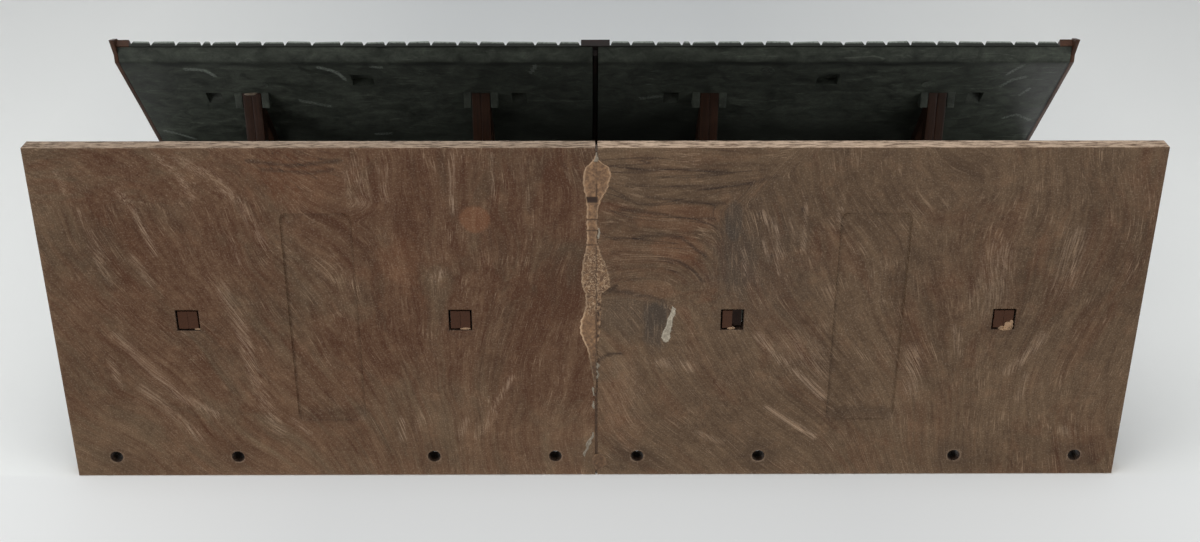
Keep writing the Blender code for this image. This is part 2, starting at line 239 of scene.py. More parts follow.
# Sizes that follow the frame
plateBox = {name: np.array(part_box(f"base_plate_{name}")) / mm for name in ends}
plateTop, plateHalf = plateBox["left"][1][2], plateBox["left"][1][1]
plateLength = -plateBox["left"][0][0]
postStations = [plateLength * part for part in (-0.75, -0.25, 0.25, 0.75)]
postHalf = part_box("frame_1_right_half")[1][0] / mm - postStations[0]
print("frame loaded,", len(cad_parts), "nodes")


# Brown structural foam, a foamed polystyrene moulding. Its skin shows swirled flow marks: brown clouds from
# red to olive, tan hairlines where gas bubbles smeared along the flow, and dark contour lines in eddies.
# Flow coordinates and marks come with the mesh; the paving has plain marks. Grains are (size, detail,
# roughness), streaks (width across the flow, length along it, shift, detail, distortion), and spans turn one
# range into another.
foam = dict(
    clay="#482e1e", olive="#493829", veil="#957e64", shade="#2f221a", rust="#66432d", hairline="#927c66",
    pale="#a28d79", slate="#42382f", dust="#988d7e", edge="#ad9782", edgeDash="#4c3928",
    grains=dict(blotch=(11, 4, 0.65), cluster=(15, 2, 0.5), mottle=(2.6, 3, 0.5), grit=(0.9, 3, 0.5)),
    streaks=dict(
        cloud=(17, 46, 3, 3, 0.6), band=(5.5, 130, 71, 1, 0.3), streak=(2.4, 18, 11, 4, 0.2),
        fibre=(0.8, 6, 17, 3, 0.2), hair=(0.7, 11, 29, 2, 0.2), wisp=(0.6, 9, 47, 4, 0.2)),
    dash=(7, 7, 1.1), scratch=(0.9, 15, 1), bump=(0.3, 0.2),
    veilShares=dict(band=0.22, streak=0.38, fibre=0.22, blotch=0.28, mottle=0.22), veilMean=0.10,
    plainMarks=dict(warmth=0, rust=0, tone=0, grain=0.1, shade=0, slate=0, pale=0, edge=0), plainWisps=0.05,
    spans=dict(
        warmth=(0.38, 0.62), rust=(0.54, 0.74, 0, 0.2), line=(0.002, 0.013, 1, 0), hair=(0.55, 0.72),
        scratch=(0.52, 0.72, 0, 0.35), cluster=(0.42, 0.68, 0, 0.6), wisp=(0.47, 0.66), dash=(0.44, 0.63),
        side=(-5 * mm, 5 * mm, 0.92, 1.28), grit=(0.3, 0.7, 0.88, 1.12), dust=(0.54, 0.74, 0, 0.22),
        rough=(0.3, 0.7, 0.52, 0.7)))


def foamPlastic(name, ownFlow):
    material, add = newMaterial(name)
    span = foam["spans"]
    place = add("TexCoord", out="Object")
    inMm = add("VectorMath SCALE", place, 1 / mm)
    flow = add("Attribute", out="Vector", attribute_name="flow") if ownFlow else inMm
    marks = {key: add("Attribute", out="Fac", attribute_name=key) if ownFlow else plain
             for key, plain in foam["plainMarks"].items()}
    noise = {key: add("TexNoise", inMm, 1 / size, *rest) for key, (size, *rest) in foam["grains"].items()}
    for key, (wide, long, shift, detail, distortion) in foam["streaks"].items():
        apart = (shift, shift * 0.7, shift * 1.3)
        scaled = add("Mapping", flow, location=apart, scale=(1 / wide, 1 / long, 0.2))
        noise[key] = add("TexNoise", scaled, 1, detail, 0.6, distortion=distortion)
    dashed, upright = (add("Mapping", inMm, scale=[1 / size for size in foam[key]])
                       for key in ("dash", "scratch"))
    warmth = add("Math ADD", noise["cloud"], marks["warmth"])
    colour = add("Mix", add("MapRange", warmth, *span["warmth"]), foam["olive"], foam["clay"])
    rust = add("MapRange", noise["blotch"], *span["rust"])
    rust = add("Math ADD", rust, marks["rust"], use_clamp=True)
    colour = add("Mix", rust, colour, foam["rust"])
    # light and dark at five sizes, from bands down to fine fibres and mottling, as a pale veil on the brown
    veilStart = foam["veilMean"] - 0.5 * sum(foam["veilShares"].values())
    veil = add("Math ADD", marks["tone"], veilStart)
    for key, share in foam["veilShares"].items():
        veil = add("Math MULTIPLY_ADD", noise[key], share, veil)
    colour = add("Mix", veil, colour, foam["veil"])
    # eddies show dark contour lines, where the band noise crosses its middle
    line = add("Math ABSOLUTE", add("Math SUBTRACT", noise["band"], 0.5))
    line = add("Math MULTIPLY", add("MapRange", line, *span["line"]), marks["grain"])
    line = add("Math ADD", line, marks["shade"], use_clamp=True)
    colour = add("Mix", line, colour, foam["shade"])
    # scuffed grey zones with upright scratches
    scratch = add("MapRange", add("TexNoise", upright, 1, 3), *span["scratch"])
    scuffed = add("Mix", scratch, foam["slate"], foam["hairline"])
    colour = add("Mix", marks["slate"], colour, scuffed)
    # hairlines come in clusters, wisps where the melt was torn
    here = add("MapRange", noise["cluster"], *span["cluster"])
    here = add("Math ADD", here, marks["pale"], use_clamp=True)
    hair = add("Math MULTIPLY", add("MapRange", noise["hair"], *span["hair"]), here)
    colour = add("Mix", hair, colour, foam["hairline"])
    torn = marks["pale"] if ownFlow else foam["plainWisps"]
    wisp = add("Math MULTIPLY", add("MapRange", noise["wisp"], *span["wisp"]), torn)
    colour = add("Mix", wisp, colour, foam["pale"])
    # side faces: painted light makes them paler, most on the right plate; short dark dashes run along them
    dashes = add("MapRange", add("TexNoise", dashed, 1, 4, 0.65), *span["dash"])
    paler = add("MapRange", add("SeparateXYZ", place, out="X"), *span["side"])
    sideTone = add("Mix", dashes, foam["edge"], foam["edgeDash"])
    sideTone = add("VectorMath SCALE", sideTone, paler)
    colour = add("Mix", marks["edge"], colour, sideTone)
    colour = add("VectorMath SCALE", colour, add("MapRange", noise["grit"], *span["grit"]))
    colour = add("Mix", add("MapRange", noise["grit"], *span["dust"]), colour, foam["dust"])
    relief = add("Math MULTIPLY_ADD", hair, 0.5, noise["grit"])
    finishPlastic(add, colour, add("MapRange", noise["streak"], *span["rough"]), relief, foam["bump"])
    return material


# Moulded polystyrene with wood grain: dark fibres along each member, worn and slightly paler ridges, and
# feet that are paler in the base: above them the darker body colour is painted shade of the roof's inside
grained = dict(
    fibre=(0.9, 28), fibreTone=(0.3, 0.66), cloud=22, scuff=(0.52, 0.75, 0, 0.5), speck=0.7,
    bump=(0.35, 0.2), foot=(1 * mm, 3 * mm, 0.9, 0), speckTone=(0.3, 0.7, 0.82, 1.18),
    rough=(0.3, 0.7, 0.42, 0.6))


def grainedPlastic(name, dark, body, worn, foot):
    material, add = newMaterial(name)
    place = add("TexCoord", out="Object")
    wide, long = grained["fibre"]
    flow = add("Attribute", out="Vector", attribute_name="flow")
    fibre = add("Mapping", flow, scale=(1 / wide, 1 / long, 1))
    fibre = add("TexNoise", fibre, 1, 4, distortion=0.4)
    colour = add("Mix", add("MapRange", fibre, *grained["fibreTone"]), dark, body)
    cloud = add("TexNoise", place, 1 / (grained["cloud"] * mm), 3)
    colour = add("Mix", add("MapRange", cloud, *grained["scuff"]), colour, worn)
    # painted shade: above its lowest 1 to 3 mm a member takes the darker body colour, for the dim roof inside
    low = add("MapRange", add("SeparateXYZ", place, out="Z"), *grained["foot"])
    colour = add("Mix", low, colour, foot)
    speck = add("TexNoise", place, 1 / (grained["speck"] * mm), 2)
    colour = add("VectorMath SCALE", colour, add("MapRange", speck, *grained["speckTone"]))
    finishPlastic(add, colour, add("MapRange", cloud, *grained["rough"]), fibre, grained["bump"])
    return material


# Dark green-grey polystyrene, sprayed thinly over its moulded flow. The underside is cloudy with a few pale
# wisps. Painted shade darkens its crease, the inner front slopes and the shingles' butts and bed, and the
# shingles' lower edges and backs are pale grey.
# Noises are (length along the roof, width, shift, detail, roughness, distortion).
slate = dict(
    dark="#20231e", body="#353932", wisp="#52574e", worn="#80867f", stain="#121410", speck=1.1,
    bump=(0.3, 0.25),
    noises=dict(
        cloud=(30, 17, (0, 0, 0), 5, 0.6, 0.9), wisp=(24, 3.6, (3, 1, 2), 4, 0.5, 1.6),
        mottle=(11, 8, (7, 4, 1), 6, 0.68, 0.7)),
    spans=dict(
        cloud=(0.32, 0.66), wisp=(0.6, 0.78, 0, 0.6), mottle=(0.3, 0.7, 0.42, 1.5),
        speck=(0.3, 0.7, 0.88, 1.12), worn=(0.1, 0.5), rough=(0.3, 0.7, 0.5, 0.7)))


def roofPlastic(name):
    material, add = newMaterial(name)
    span, noise = slate["spans"], {}
    inMm = add("VectorMath SCALE", add("TexCoord", out="Object"), 1 / mm)
    for key, (long, wide, shift, detail, rough, distortion) in slate["noises"].items():
        scaled = add("Mapping", inMm, location=shift, scale=(1 / long, 1 / wide, 1 / wide))
        noise[key] = add("TexNoise", scaled, 1, detail, rough, distortion=distortion)
    noise["speck"] = add("TexNoise", inMm, 1 / slate["speck"], 3)
    stain, worn = (add("Attribute", out="Fac", attribute_name=key) for key in ("stain", "worn"))
    colour = add("Mix", add("MapRange", noise["cloud"], *span["cloud"]), slate["dark"], slate["body"])
    colour = add("Mix", add("MapRange", noise["wisp"], *span["wisp"]), colour, slate["wisp"])
    for key in ("mottle", "speck"):
        colour = add("VectorMath SCALE", colour, add("MapRange", noise[key], *span[key]))
    # painted shade, where the mesh marks it
    colour = add("Mix", stain, colour, slate["stain"])
    flaky = add("MapRange", add("Math MULTIPLY", worn, noise["speck"]), *span["worn"])
    colour = add("Mix", flaky, colour, slate["worn"])
    rough = add("MapRange", noise["cloud"], *span["rough"])
    finishPlastic(add, colour, rough, noise["speck"], slate["bump"], specular=0.2)
    return material


# Dried contact glue: a tan skin with a paler rolled rim, wrinkled in fine pale lines where it was pressed
# out, and brown where it is worn thin
glueSkin = dict(
    grain=1.9, sheer=4.5, wrinkle=2.2, bump=(0.5, 0.3), rough=0.5, specular=0.35, ior=1.48,
    grainTone=(0.34, 0.66), sheerTone=(0.44, 0.66, 0, 0.75), wrinkleLine=(0.01, 0.045, 1, 0))


def driedGlue(name, low, high, rim, brown):
    material, add = newMaterial(name)
    inMm = add("VectorMath SCALE", add("TexCoord", out="Object"), 1 / mm)
    thin, rolled, wrinkled = (add("Attribute", out="Fac", attribute_name=key)
                              for key in ("thin", "rim", "wrinkled"))
    grain = add("TexNoise", inMm, 1 / glueSkin["grain"], 4, 0.7)
    colour = add("Mix", add("MapRange", grain, *glueSkin["grainTone"]), low, high)
    sheer = add("TexNoise", inMm, 1 / glueSkin["sheer"], 4, 0.6)
    colour = add("Mix", add("MapRange", sheer, *glueSkin["sheerTone"]), colour, low)
    wrinkle = add("TexNoise", inMm, 1 / glueSkin["wrinkle"], 2, distortion=0.6)
    wrinkle = add("Math ABSOLUTE", add("Math SUBTRACT", wrinkle, 0.5))
    wrinkle = add("MapRange", wrinkle, *glueSkin["wrinkleLine"])
    wrinkle = add("Math MULTIPLY", wrinkle, wrinkled)
    colour = add("Mix", add("Math MAXIMUM", wrinkle, rolled), colour, rim)
    colour = add("Mix", thin, colour, brown)
    relief = add("Math MULTIPLY_ADD", wrinkle, 0.6, grain)
    finishPlastic(add, colour, glueSkin["rough"], relief, glueSkin["bump"], glueSkin["specular"],
                  glueSkin["ior"])
    return material


foamUnderside = foamPlastic("brown_structural_foam_skin", True)
foamPaving = foamPlastic("brown_structural_foam_paving", False)
# its dark body is painted shade of the roof's inside; the paler foot colour is how it looks when lit
postPlastic = grainedPlastic("red_brown_moulded_grain", "#190f09", "#2b180e", "#372316", "#42291b")
trimPlastic = grainedPlastic("dark_red_brown_moulded_grain", "#28170e", "#432a1c", "#593c2a", "#432a1c")
jointPlastic = grainedPlastic("black_brown_moulded_grain", "#110b09", "#1c1310", "#3f251d", "#1c1310")
roofSlate = roofPlastic("green_grey_sprayed_polystyrene")
tanGlue = driedGlue("dried_contact_glue", "#584230", "#8d6f51", "#b69d80", "#2f1f15")
whiteGlue = driedGlue("dried_white_glue", "#776f63", "#a29a8b", "#aaa292", "#4f4233")
print("materials made")


# Base plates. Underside and top are one grid each, joined by walls round the outline and the holes.
plate = dict(
    step=1.25, edgeRound=0.5, wave=0.05, postHole=6.3, postRing=9.6, pegHole=3.5, postRings=(5, 5),
    pegRings=(3, 4), pegFromEdge=12.8, pegStations=(-126.4, -56.5, 56.5, 126.4), recess=(38, 129),
    recessDepth=1.1, recessCorner=5, wall=0.25, kerb=20, kerbBed=0.6, pavingBed=1.6,
    pegStain=dict(left=0.15, right=0.34), pegStainRadii=(14, 9))
# marks of the moulding on the underside, at X and w in millimetres: strokes are (strength, width, points),
# patches are (strength, middle, radii, softness)
plateMarks = dict(
    left=dict(
        pale=[
            (0.43, 3, (-231, 98), (-219, 86), (-214, 74)),
            (0.43, 3.4, (-253, 78), (-246, 68), (-241, 52), (-238, 41)),
            (0.39, 4.2, (-219, 96), (-201, 85), (-188, 69), (-179, 45)),
            (0.27, 2.5, (-284, 90), (-280, 76)), (0.39, 2.5, (-275, 66), (-267, 42)),
            (0.35, 3, (-272, 46), (-264, 23)), (0.31, 3.4, (-250, 38), (-242, 23)),
            (0.43, 5.1, (-204, 20), (-196, -5), (-194, -23), (-190, -46), (-181, -71)),
            (0.39, 2.1, (-196, 49), (-193, 36)), (0.39, 3.4, (-271, -24), (-267, -41)),
            (0.47, 4.2, (-266, -10), (-249, -30), (-237, -47), (-216, -61)),
            (0.35, 4.2, (-256, -43), (-232, -69), (-227, -77)), (0.39, 2.5, (-173, -64), (-164, -73)),
            (0.47, 2.1, (-76, 99), (-76, 65)), (0.31, 1.7, (-55, 99), (-54, 73)),
            (0.27, 1.7, (-40, 99), (-39, 83)), (0.58, 3.8, (-88, 25), (-84, 30)),
            (0.51, 2.1, (-47, -36), (-61, -61)), (0.39, 2.5, (-100, -62), (-104, -75)),
            (0.55, 3.4, (-111, -65), (-111, -77)), (0.39, 3.4, (-74, -65), (-78, -74)),
            (0.39, 3.8, (-58, -61), (-69, -75)), (0.35, 6, (-125, 92), (-124, 72)),
            (0.5, 1.6, (-228.5, -7.8), (-224, -9.2)), (0.3, 3, (-131.5, 88), (-130, 70)),
            (0.3, 4, (-112, 90), (-112, 74))],
        shade=[
            (0.6, 1.6, (-183, 95), (-160, 92), (-134, 95)), (0.5, 1.4, (-176, 90), (-150, 88), (-138, 90)),
            (0.25, 7, (-166, -61), (-134, -61))],
        rust=[
            (0.75, (-65, 61), (8, 8), 0.1), (0.35, (-105, 36), (12, 14), 0.5),
            (0.3, (-160, 84), (22, 12), 0.6)],
        slate=[]),
    right=dict(
        pale=[
            (0.6, 4, (90, -10), (99, -23), (114, -34), (128, -49)), (0.28, 15, (112, -16), (122, -32)),
            (0.75, 3, (97, -57), (113, -68), (125, -76)), (0.4, 5, (36, -27), (53, -30)),
            (0.4, 3, (58, -74), (72, -80)), (0.5, 4.5, (231, -33), (240, -24), (248, -11)),
            (0.4, 8, (177, -20), (178, -44)), (0.45, 3.5, (199, -5), (203, -22)),
            (0.4, 3, (240, -51), (242, -36)), (0.4, 5, (268, -72), (272, -74)),
            (0.35, 4, (93, 60), (100, 40)), (0.3, 14, (215, 8), (218, 40)), (0.3, 10, (255, 20), (258, 50)),
            (0.15, 14, (14, -32), (16, -74)), (0.6, 3.2, (88, 64), (96, 55)),
            (0.5, 2.2, (96, 43), (99, 29)), (0.45, 1.8, (79.5, 42), (81, 28)),
            (0.5, 2.2, (130, 67), (130.5, 58)), (0.4, 1.6, (112, 70), (111.5, 43)),
            (0.4, 2, (104, 62), (107, 50)), (0.4, 2, (90, 48), (93, 36))],
        shade=[
            (0.8, 1.3, (0.5, -26), (6, -22), (14, -21)), (0.8, 1.5, (7, 18), (11, 21.5)),
            (0.9, 1.4, (87, 64), (87.2, 64)), (0.9, 1.5, (110, 67), (110, 66)),
            (0.7, 1.8, (95, 40), (95, 39)), (0.3, 7, (134, -61), (166, -61)),
            (0.6, 1.4, (27, 74), (38, 72.6), (52, 71), (68, 70.5)),
            (0.6, 1.4, (7, 18.7), (18, 16.8), (31, 14), (38, 11)),
            (0.5, 1.4, (16, 81), (38, 80), (62, 79.6), (79, 81), (95, 86)),
            (0.5, 1.4, (16, 91), (34, 90.4), (54, 89.4), (69, 88.6)),
            (0.5, 1.4, (13, 67), (32, 64.5), (47, 61.4), (63, 61)),
            (0.6, 1.4, (20, 50), (34, 52), (46, 50), (54, 43), (59, 39)),
            (0.7, 1.4, (34, 38), (44, 36.4), (52, 31), (58, 24))],
        rust=[
            (0.3, (10, -52), (9, 20), 0.6), (0.3, (44, 62), (23, 8), 0.15), (0.35, (44, 44), (14, 8), 0.15),
            (0.25, (28, 18), (16, 6), 0.2), (0.2, (20, -72), (8, 10), 0.6)],
        slate=[
            (0.75, (33, -3), (7, 15), 0.35), (0.4, (19, 4), (20, 14), 0.4),
            (0.6, (73.5, 60), (5, 11), 0.15), (0.4, (76, 36), (13, 20), 0.35),
            (0.25, (90, 32), (26, 38), 0.5)]))


def plateLines(low, high, walls):
    # lines with three more in each rounded edge
    r = plate["edgeRound"]
    inner = wallLines(low + r, high - r, plate["step"], walls, plate["wall"], 0.3)
    return np.concatenate([low + r * np.array([0, 0.13, 0.5]), inner, high - r * np.array([0.5, 0.13, 0])])


def cutHole(x, y, lift, leftOut, xs, ys, middle, half, rings, spread, turned):
    # grid rings about the hole's middle: ring number `rings` becomes the hole's outline, those outside it
    # fade back to the plain grid, and the cells inside are left out. A turned hole is round.
    i0, j0 = np.abs(xs - middle[0]).argmin(), np.abs(ys - middle[1]).argmin()
    i, j = np.meshgrid(np.arange(len(xs)) - i0, np.arange(len(ys)) - j0, indexing="ij")
    ring = np.maximum(np.abs(i), np.abs(j))
    near = (ring >= rings) & (ring <= rings + spread)
    size = np.maximum(np.hypot(i, j) if turned else ring, 1)
    rim = np.where(ring == rings, 0, 0.35)
    fade = np.clip((ring - rings - 1) / (spread - 1), 0, 1)
    for axis, index, centre in ((x, i, middle[0]), (y, j, middle[1])):
        outline = centre + index / size * (half + rim)
        axis[near] = (outline + (axis - outline) * fade)[near]
    lift[ring == rings] = 0.25
    inside = ring <= rings
    leftOut |= inside[:-1, :-1] & inside[1:, 1:] & inside[:-1, 1:] & inside[1:, :-1]
    return ring == rings


def swirl(x, w, end):
    # how the melt ran: lines that lean like a wide V, more the lower they are. On the left plate they lie
    # down towards the upper edge and stand upright beyond a break beside the recess. On the right plate two
    # eddies stand by the joint: arcs that hang from the upper edge and a boxy bow below them.
    # psi counts millimetres across the lines, chi along them. w is -Y, up in the photo.
    tipX = end * plateLength / 2 + 37
    turn = ease(x, tipX - 60, tipX + 60)
    leanLeft, leanRight = 0.64 * w - 0.002 * w ** 2, 0.3 * w - 0.0022 * w * np.abs(w)
    psi = x - tipX + leanLeft * (1 - turn) - leanRight * turn
    chi = -w
    if end > 0:
        hang = w - 7 - np.where(x > 50, 0.0025, 0.0008) * np.minimum(x - 50, 60) ** 2
        bow = 44 * ((np.abs(x - 22) / 44) ** 2.4 + (np.abs(w - 8) / 44) ** 2.4) ** (1 / 2.4)
        eddy = bow + (hang - bow) * ease(w, 60, 74)
        share = ease(w, 6, 24) * (1 - ease(x - 1.2 * np.maximum(w - 66, 0), 62, 76))
        psi = psi + (eddy - 163 - psi) * share
        chi = chi + (x - 150 - chi) * share
    else:
        lying = 1 - ease(x + 2 * ripple(x, w, 24, 21), -134.5, -132)
        upright = (1 - lying) * ease(w, 58, 72) * (1 - ease(x, -105, -85))
        psi = psi + 0.02 * np.maximum(w - 65, 0) ** 2 * lying + (x - tipX + 4 - psi) * upright
        chi = chi + 0.05 * np.maximum(w - 70, 0) * (x + 150) * lying
    psi = psi + 4 * ripple(x, w, 95, 5 + end) + 0.8 * ripple(x, w, 38, 8 + end)
    return psi, chi + 5 * ripple(x, w, 60, 15 + end)


def patch(x, w, middle, radii, soft, seed):
    # a cloudy-edged oval, 1 inside and 0 outside
    reach = np.hypot((x - middle[0]) / radii[0], (w - middle[1]) / radii[1])
    cloud = 0.8 * ripple(x, w, 16, seed) + 0.4 * ripple(x, w, 5, seed + 1)
    return 1 - ease(reach + 0.5 * soft * cloud, 1 - soft, 1 + soft)


def stroke(x, w, width, points):
    # a soft band along a run of points: 1 within a quarter of its width, 0 past its width
    nearest = np.full_like(x, np.inf)
    for (x0, w0), (x1, w1) in zip(points, points[1:]):
        run = np.array([x1 - x0, w1 - w0], float)
        t = np.clip(((x - x0) * run[0] + (w - w0) * run[1]) / (run @ run + 1e-9), 0, 1)
        nearest = np.minimum(nearest, np.hypot(x - x0 - t * run[0], w - w0 - t * run[1]))
    return 1 - ease(nearest, 0.25 * width, width)


def basePlate(endName):
    # a grid over x and y. Underside: z is the edge's rounding plus the recess and a slight wave. Top: z is
    # the plate's top less that rounding and the paving's bed. A wall joins the two where a grid edge is free.
    end = ends[endName]
    low, high = plateBox[endName]
    middle, (recessX, recessY) = end * plateLength / 2, np.array(plate["recess"]) / 2
    posts = [middle - plateLength / 4, middle + plateLength / 4]
    pegs, pegW = [middle + station for station in plate["pegStations"]], plate["pegFromEdge"] - plateHalf
    xs = plateLines(low[0], high[0], (middle - recessX, middle + recessX))
    ys = plateLines(low[1], high[1], (-recessY, recessY))
    x, y = np.meshgrid(xs, ys, indexing="ij")
    fromEdge = np.minimum(np.minimum(x - low[0], high[0] - x), np.minimum(y - low[1], high[1] - y))
    r = plate["edgeRound"]
    lift = r - np.sqrt(r * r - np.clip(r - fromEdge, 0, r) ** 2)
    edge = np.where(lift > 0.9 * r, 1.0, 0.0)
    leftOut, holeWall = np.zeros((len(xs) - 1, len(ys) - 1), bool), np.zeros(x.shape, bool)
    holes = [("post", (at, 0), False) for at in posts] + [("peg", (at, -pegW), True) for at in pegs]
    for kind, spot, turned in holes:
        size, rings = plate[kind + "Hole"], plate[kind + "Rings"]
        holeWall |= cutHole(x, y, lift, leftOut, xs, ys, spot, size, *rings, turned)
    # the recess is bare: a flat rounded rectangle with a soft wall
    c = plate["recessCorner"]
    overX, overY = np.abs(x - middle) - (recessX - c), np.abs(y) - (recessY - c)
    beyond = np.hypot(np.maximum(overX, 0), np.maximum(overY, 0))
    outside = beyond + np.minimum(np.maximum(overX, overY), 0) - c
    recess = plate["recessDepth"] * ease(-outside, -plate["wall"], plate["wall"])
    wave = plate["wave"] * ripple(x, y, 34, 2 + end) * ease(fromEdge, 0, 6)
    under = np.stack([x, y, lift + recess + np.maximum(wave, -0.01)], -1).reshape(-1, 3)
    inField = ease(plateHalf - np.abs(y), plate["kerb"] - 0.7, plate["kerb"] + 0.7)
    bed = plate["kerbBed"] + (plate["pavingBed"] - plate["kerbBed"]) * inField
    over = np.stack([x, y, plateTop - lift - bed], -1).reshape(-1, 3)

    count = x.size
    cells = gridQuads(len(xs), len(ys))[~leftOut.ravel()]
    cellEdges = np.stack([cells, np.roll(cells, -1, 1)], -1).reshape(-1, 2)
    keys = np.sort(cellEdges, 1) @ np.array([count, 1])
    _, firstUse, uses = np.unique(keys, return_index=True, return_counts=True)
    rim = cellEdges[firstUse[uses == 1]]
    walls = np.column_stack([rim, rim[:, ::-1] + count])
    used = np.zeros(2 * count, bool)
    used[np.concatenate([cells.ravel(), cells.ravel() + count])] = True
    renumber = np.cumsum(used) - 1

    w = -y
    psi, chi = swirl(x, w, end)
    drawn = plateMarks[endName]
    pale, shade = (
        np.maximum.reduce([power * stroke(x, w, width, points) for power, width, *points in drawn[key]])
        for key in ("pale", "shade"))
    rust, slated = (
        sum(power * patch(x, w, *where, 51 + i) for i, (power, *where) in enumerate(drawn[key])) + 0 * x
        for key in ("rust", "slate"))
    for at in pegs:
        stained = patch(x, w, (at, pegW), plate["pegStainRadii"], 0.6, 61)
        shade = np.maximum(shade, plate["pegStain"][endName] * stained)
        # a thin pale lip round each peg hole, in the side faces' painted light tone
        fromRim = np.hypot(x - at, w - pegW) - plate["pegHole"]
        edge = np.maximum(edge, 0.25 * np.exp(-((fromRim - 0.5) / 0.3) ** 2))
    # painted shade fills the holes' walls
    shade, edge = np.where(holeWall, 1, shade), np.where(holeWall, 0, edge)
    # a faint ring lies round each post's hole, in the lower half
    for at in posts:
        fromRing = np.hypot(x - at, w) - plate["postRing"]
        shade = np.maximum(shade, 0.3 * np.exp(-(fromRing / 0.8) ** 2) * ease(-w, -3, 4))
    warmth = 0.05 * ripple(x, w, 90, 31 + end)
    # the first term of each tone is painted light: the underside grows paler towards its lower edge
    if end > 0:
        warmth = warmth - 0.12 + 0.14 * patch(x, w, (30, 50), (34, 28), 0.4, 51)
        grain = 0.06 + 0.5 * patch(x, w, (35, 68), (62, 48), 0.4, 59)
        tone = 0.04 * ease(-w, 0, 70) + 0.025 * (1 - ease(x, 30, 70))
        tone = tone + 0.06 * patch(x, w, (9, -18), (11, 22), 0.6, 63)
    else:
        warmth = warmth + 0.07 - 0.12 * ease(-x, 250, 300)
        grain = 0.06 + 0.5 * patch(x, w, (-160, 92), (26, 12), 0.4, 59)
        tone = 0.07 * ease(-w, 10, 75) - 0.045 * ease(x, -130, -60) * ease(w, -60, 10)
    tone = tone + 0.025 * ripple(x, w, 85, 71 + end)
    marks = dict(edge=edge, warmth=warmth, tone=tone, rust=rust, slate=slated, pale=pale, grain=grain,
                 shade=shade)
    marks = {key: values.ravel() for key, values in marks.items()}
    marks["flow"] = np.stack([psi, chi, np.full_like(psi, 3.0 * end)], -1).reshape(-1, 3)
    marks = {key: np.concatenate([values, values])[used] for key, values in marks.items()}
    faces = [renumber[group] for group in (cells, cells + count, walls)]
    shell = (np.concatenate([under, over])[used], faces, marks)
    addPiece(f"platform_base_{endName}", [shell], foamUnderside, [f"base_plate_{endName}"],
             sharp=50)


for endName in ends:
    basePlate(endName)
print("base plates made")


# Platform top, worked out as a likely one: rows of setts between two lines of kerb stones
paving = dict(
    rowWidth=10.2, settLength=(8.5, 13.0), joint=0.9, settTop=10.25, settCorner=0.9, settRound=0.7,
    sunk=0.3, fieldGap=0.3, lastSett=8, settShift=(-0.12, 0.06), settTilt=0.012, fromJoint=1.0,
    kerbShift=(-0.15, 0.0), holeSlack=0.3, kerbLength=37.5, kerbGap=0.7, kerbTop=11.0, kerbRound=0.8,
    collar=10.4, collarWidth=3.4)


def raisedBlocks(middle, half, corner, rounding, foot, top, shift, tilt=np.zeros((1, 2, 1, 1))):
    # blocks from foot to top, each moved by its own shift and tilt
    a, b, lift, faces = pillows(middle, half, corner, rounding, top - foot)
    offA, offB = a - middle[:, 0, None, None], b - middle[:, 1, None, None]
    top = top + shift + tilt[:, 0] * offA + tilt[:, 1] * offB
    return np.stack([a, b, foot + lift * (top - foot)], -1).reshape(-1, 3), faces, {}


def pavingSetts(endName):
    # rows of pillow blocks with random lengths, each with its own shift and tilt
    end = ends[endName]
    draw = np.random.default_rng(40 + end)
    field = plateHalf - plate["kerb"] - paving["fieldGap"]
    rows = round(2 * field / paving["rowWidth"])
    width = 2 * field / rows
    low, high = sorted((end * paving["fromJoint"], end * plateLength))
    reach, thick = paving["collar"], paving["collarWidth"] / 2
    ownPosts = [station for station in postStations if station * end > 0]
    middles, halves = [], []
    for row in range(rows):
        stops = np.cumsum(draw.uniform(*paving["settLength"], 60))
        stops = stops[:np.searchsorted(stops, plateLength - paving["lastSett"])]
        stops = low + np.concatenate([[0], stops, [high - low]])
        centre, half = between(stops, paving["joint"])
        y = -field + (row + 0.5) * width
        # stones that would reach into a post's collar are left out
        keep = np.ones(len(centre), bool)
        if abs(y) < reach + width / 2 - 1:
            for station in ownPosts:
                keep &= np.abs(centre - station) > reach + half - 1.5
        middles.append(np.column_stack([centre, np.full(len(centre), y)])[keep])
        halves.append(np.column_stack([half, np.full(len(half), (width - paving["joint"]) / 2)])[keep])
    # a frame of four stones round each post
    for station in ownPosts:
        for way in (1, -1):
            middles.append([[station, way * (reach - thick)]])
            halves.append([[reach, thick]])
        for way in (1, -1):
            middles.append([[station + way * (reach - thick), 0]])
            halves.append([[thick, reach - 2 * thick - 0.3]])
    middle, half = np.concatenate(middles), np.concatenate(halves)
    shift = draw.uniform(*paving["settShift"], (len(middle), 1, 1))
    tilt = draw.normal(0, paving["settTilt"], (len(middle), 2, 1, 1))
    foot = plateTop - plate["pavingBed"] - paving["sunk"]
    stones = raisedBlocks(middle, half, paving["settCorner"], paving["settRound"], foot, paving["settTop"],
                          shift, tilt)
    addPiece(f"platform_setts_{endName}", [stones], foamPaving)


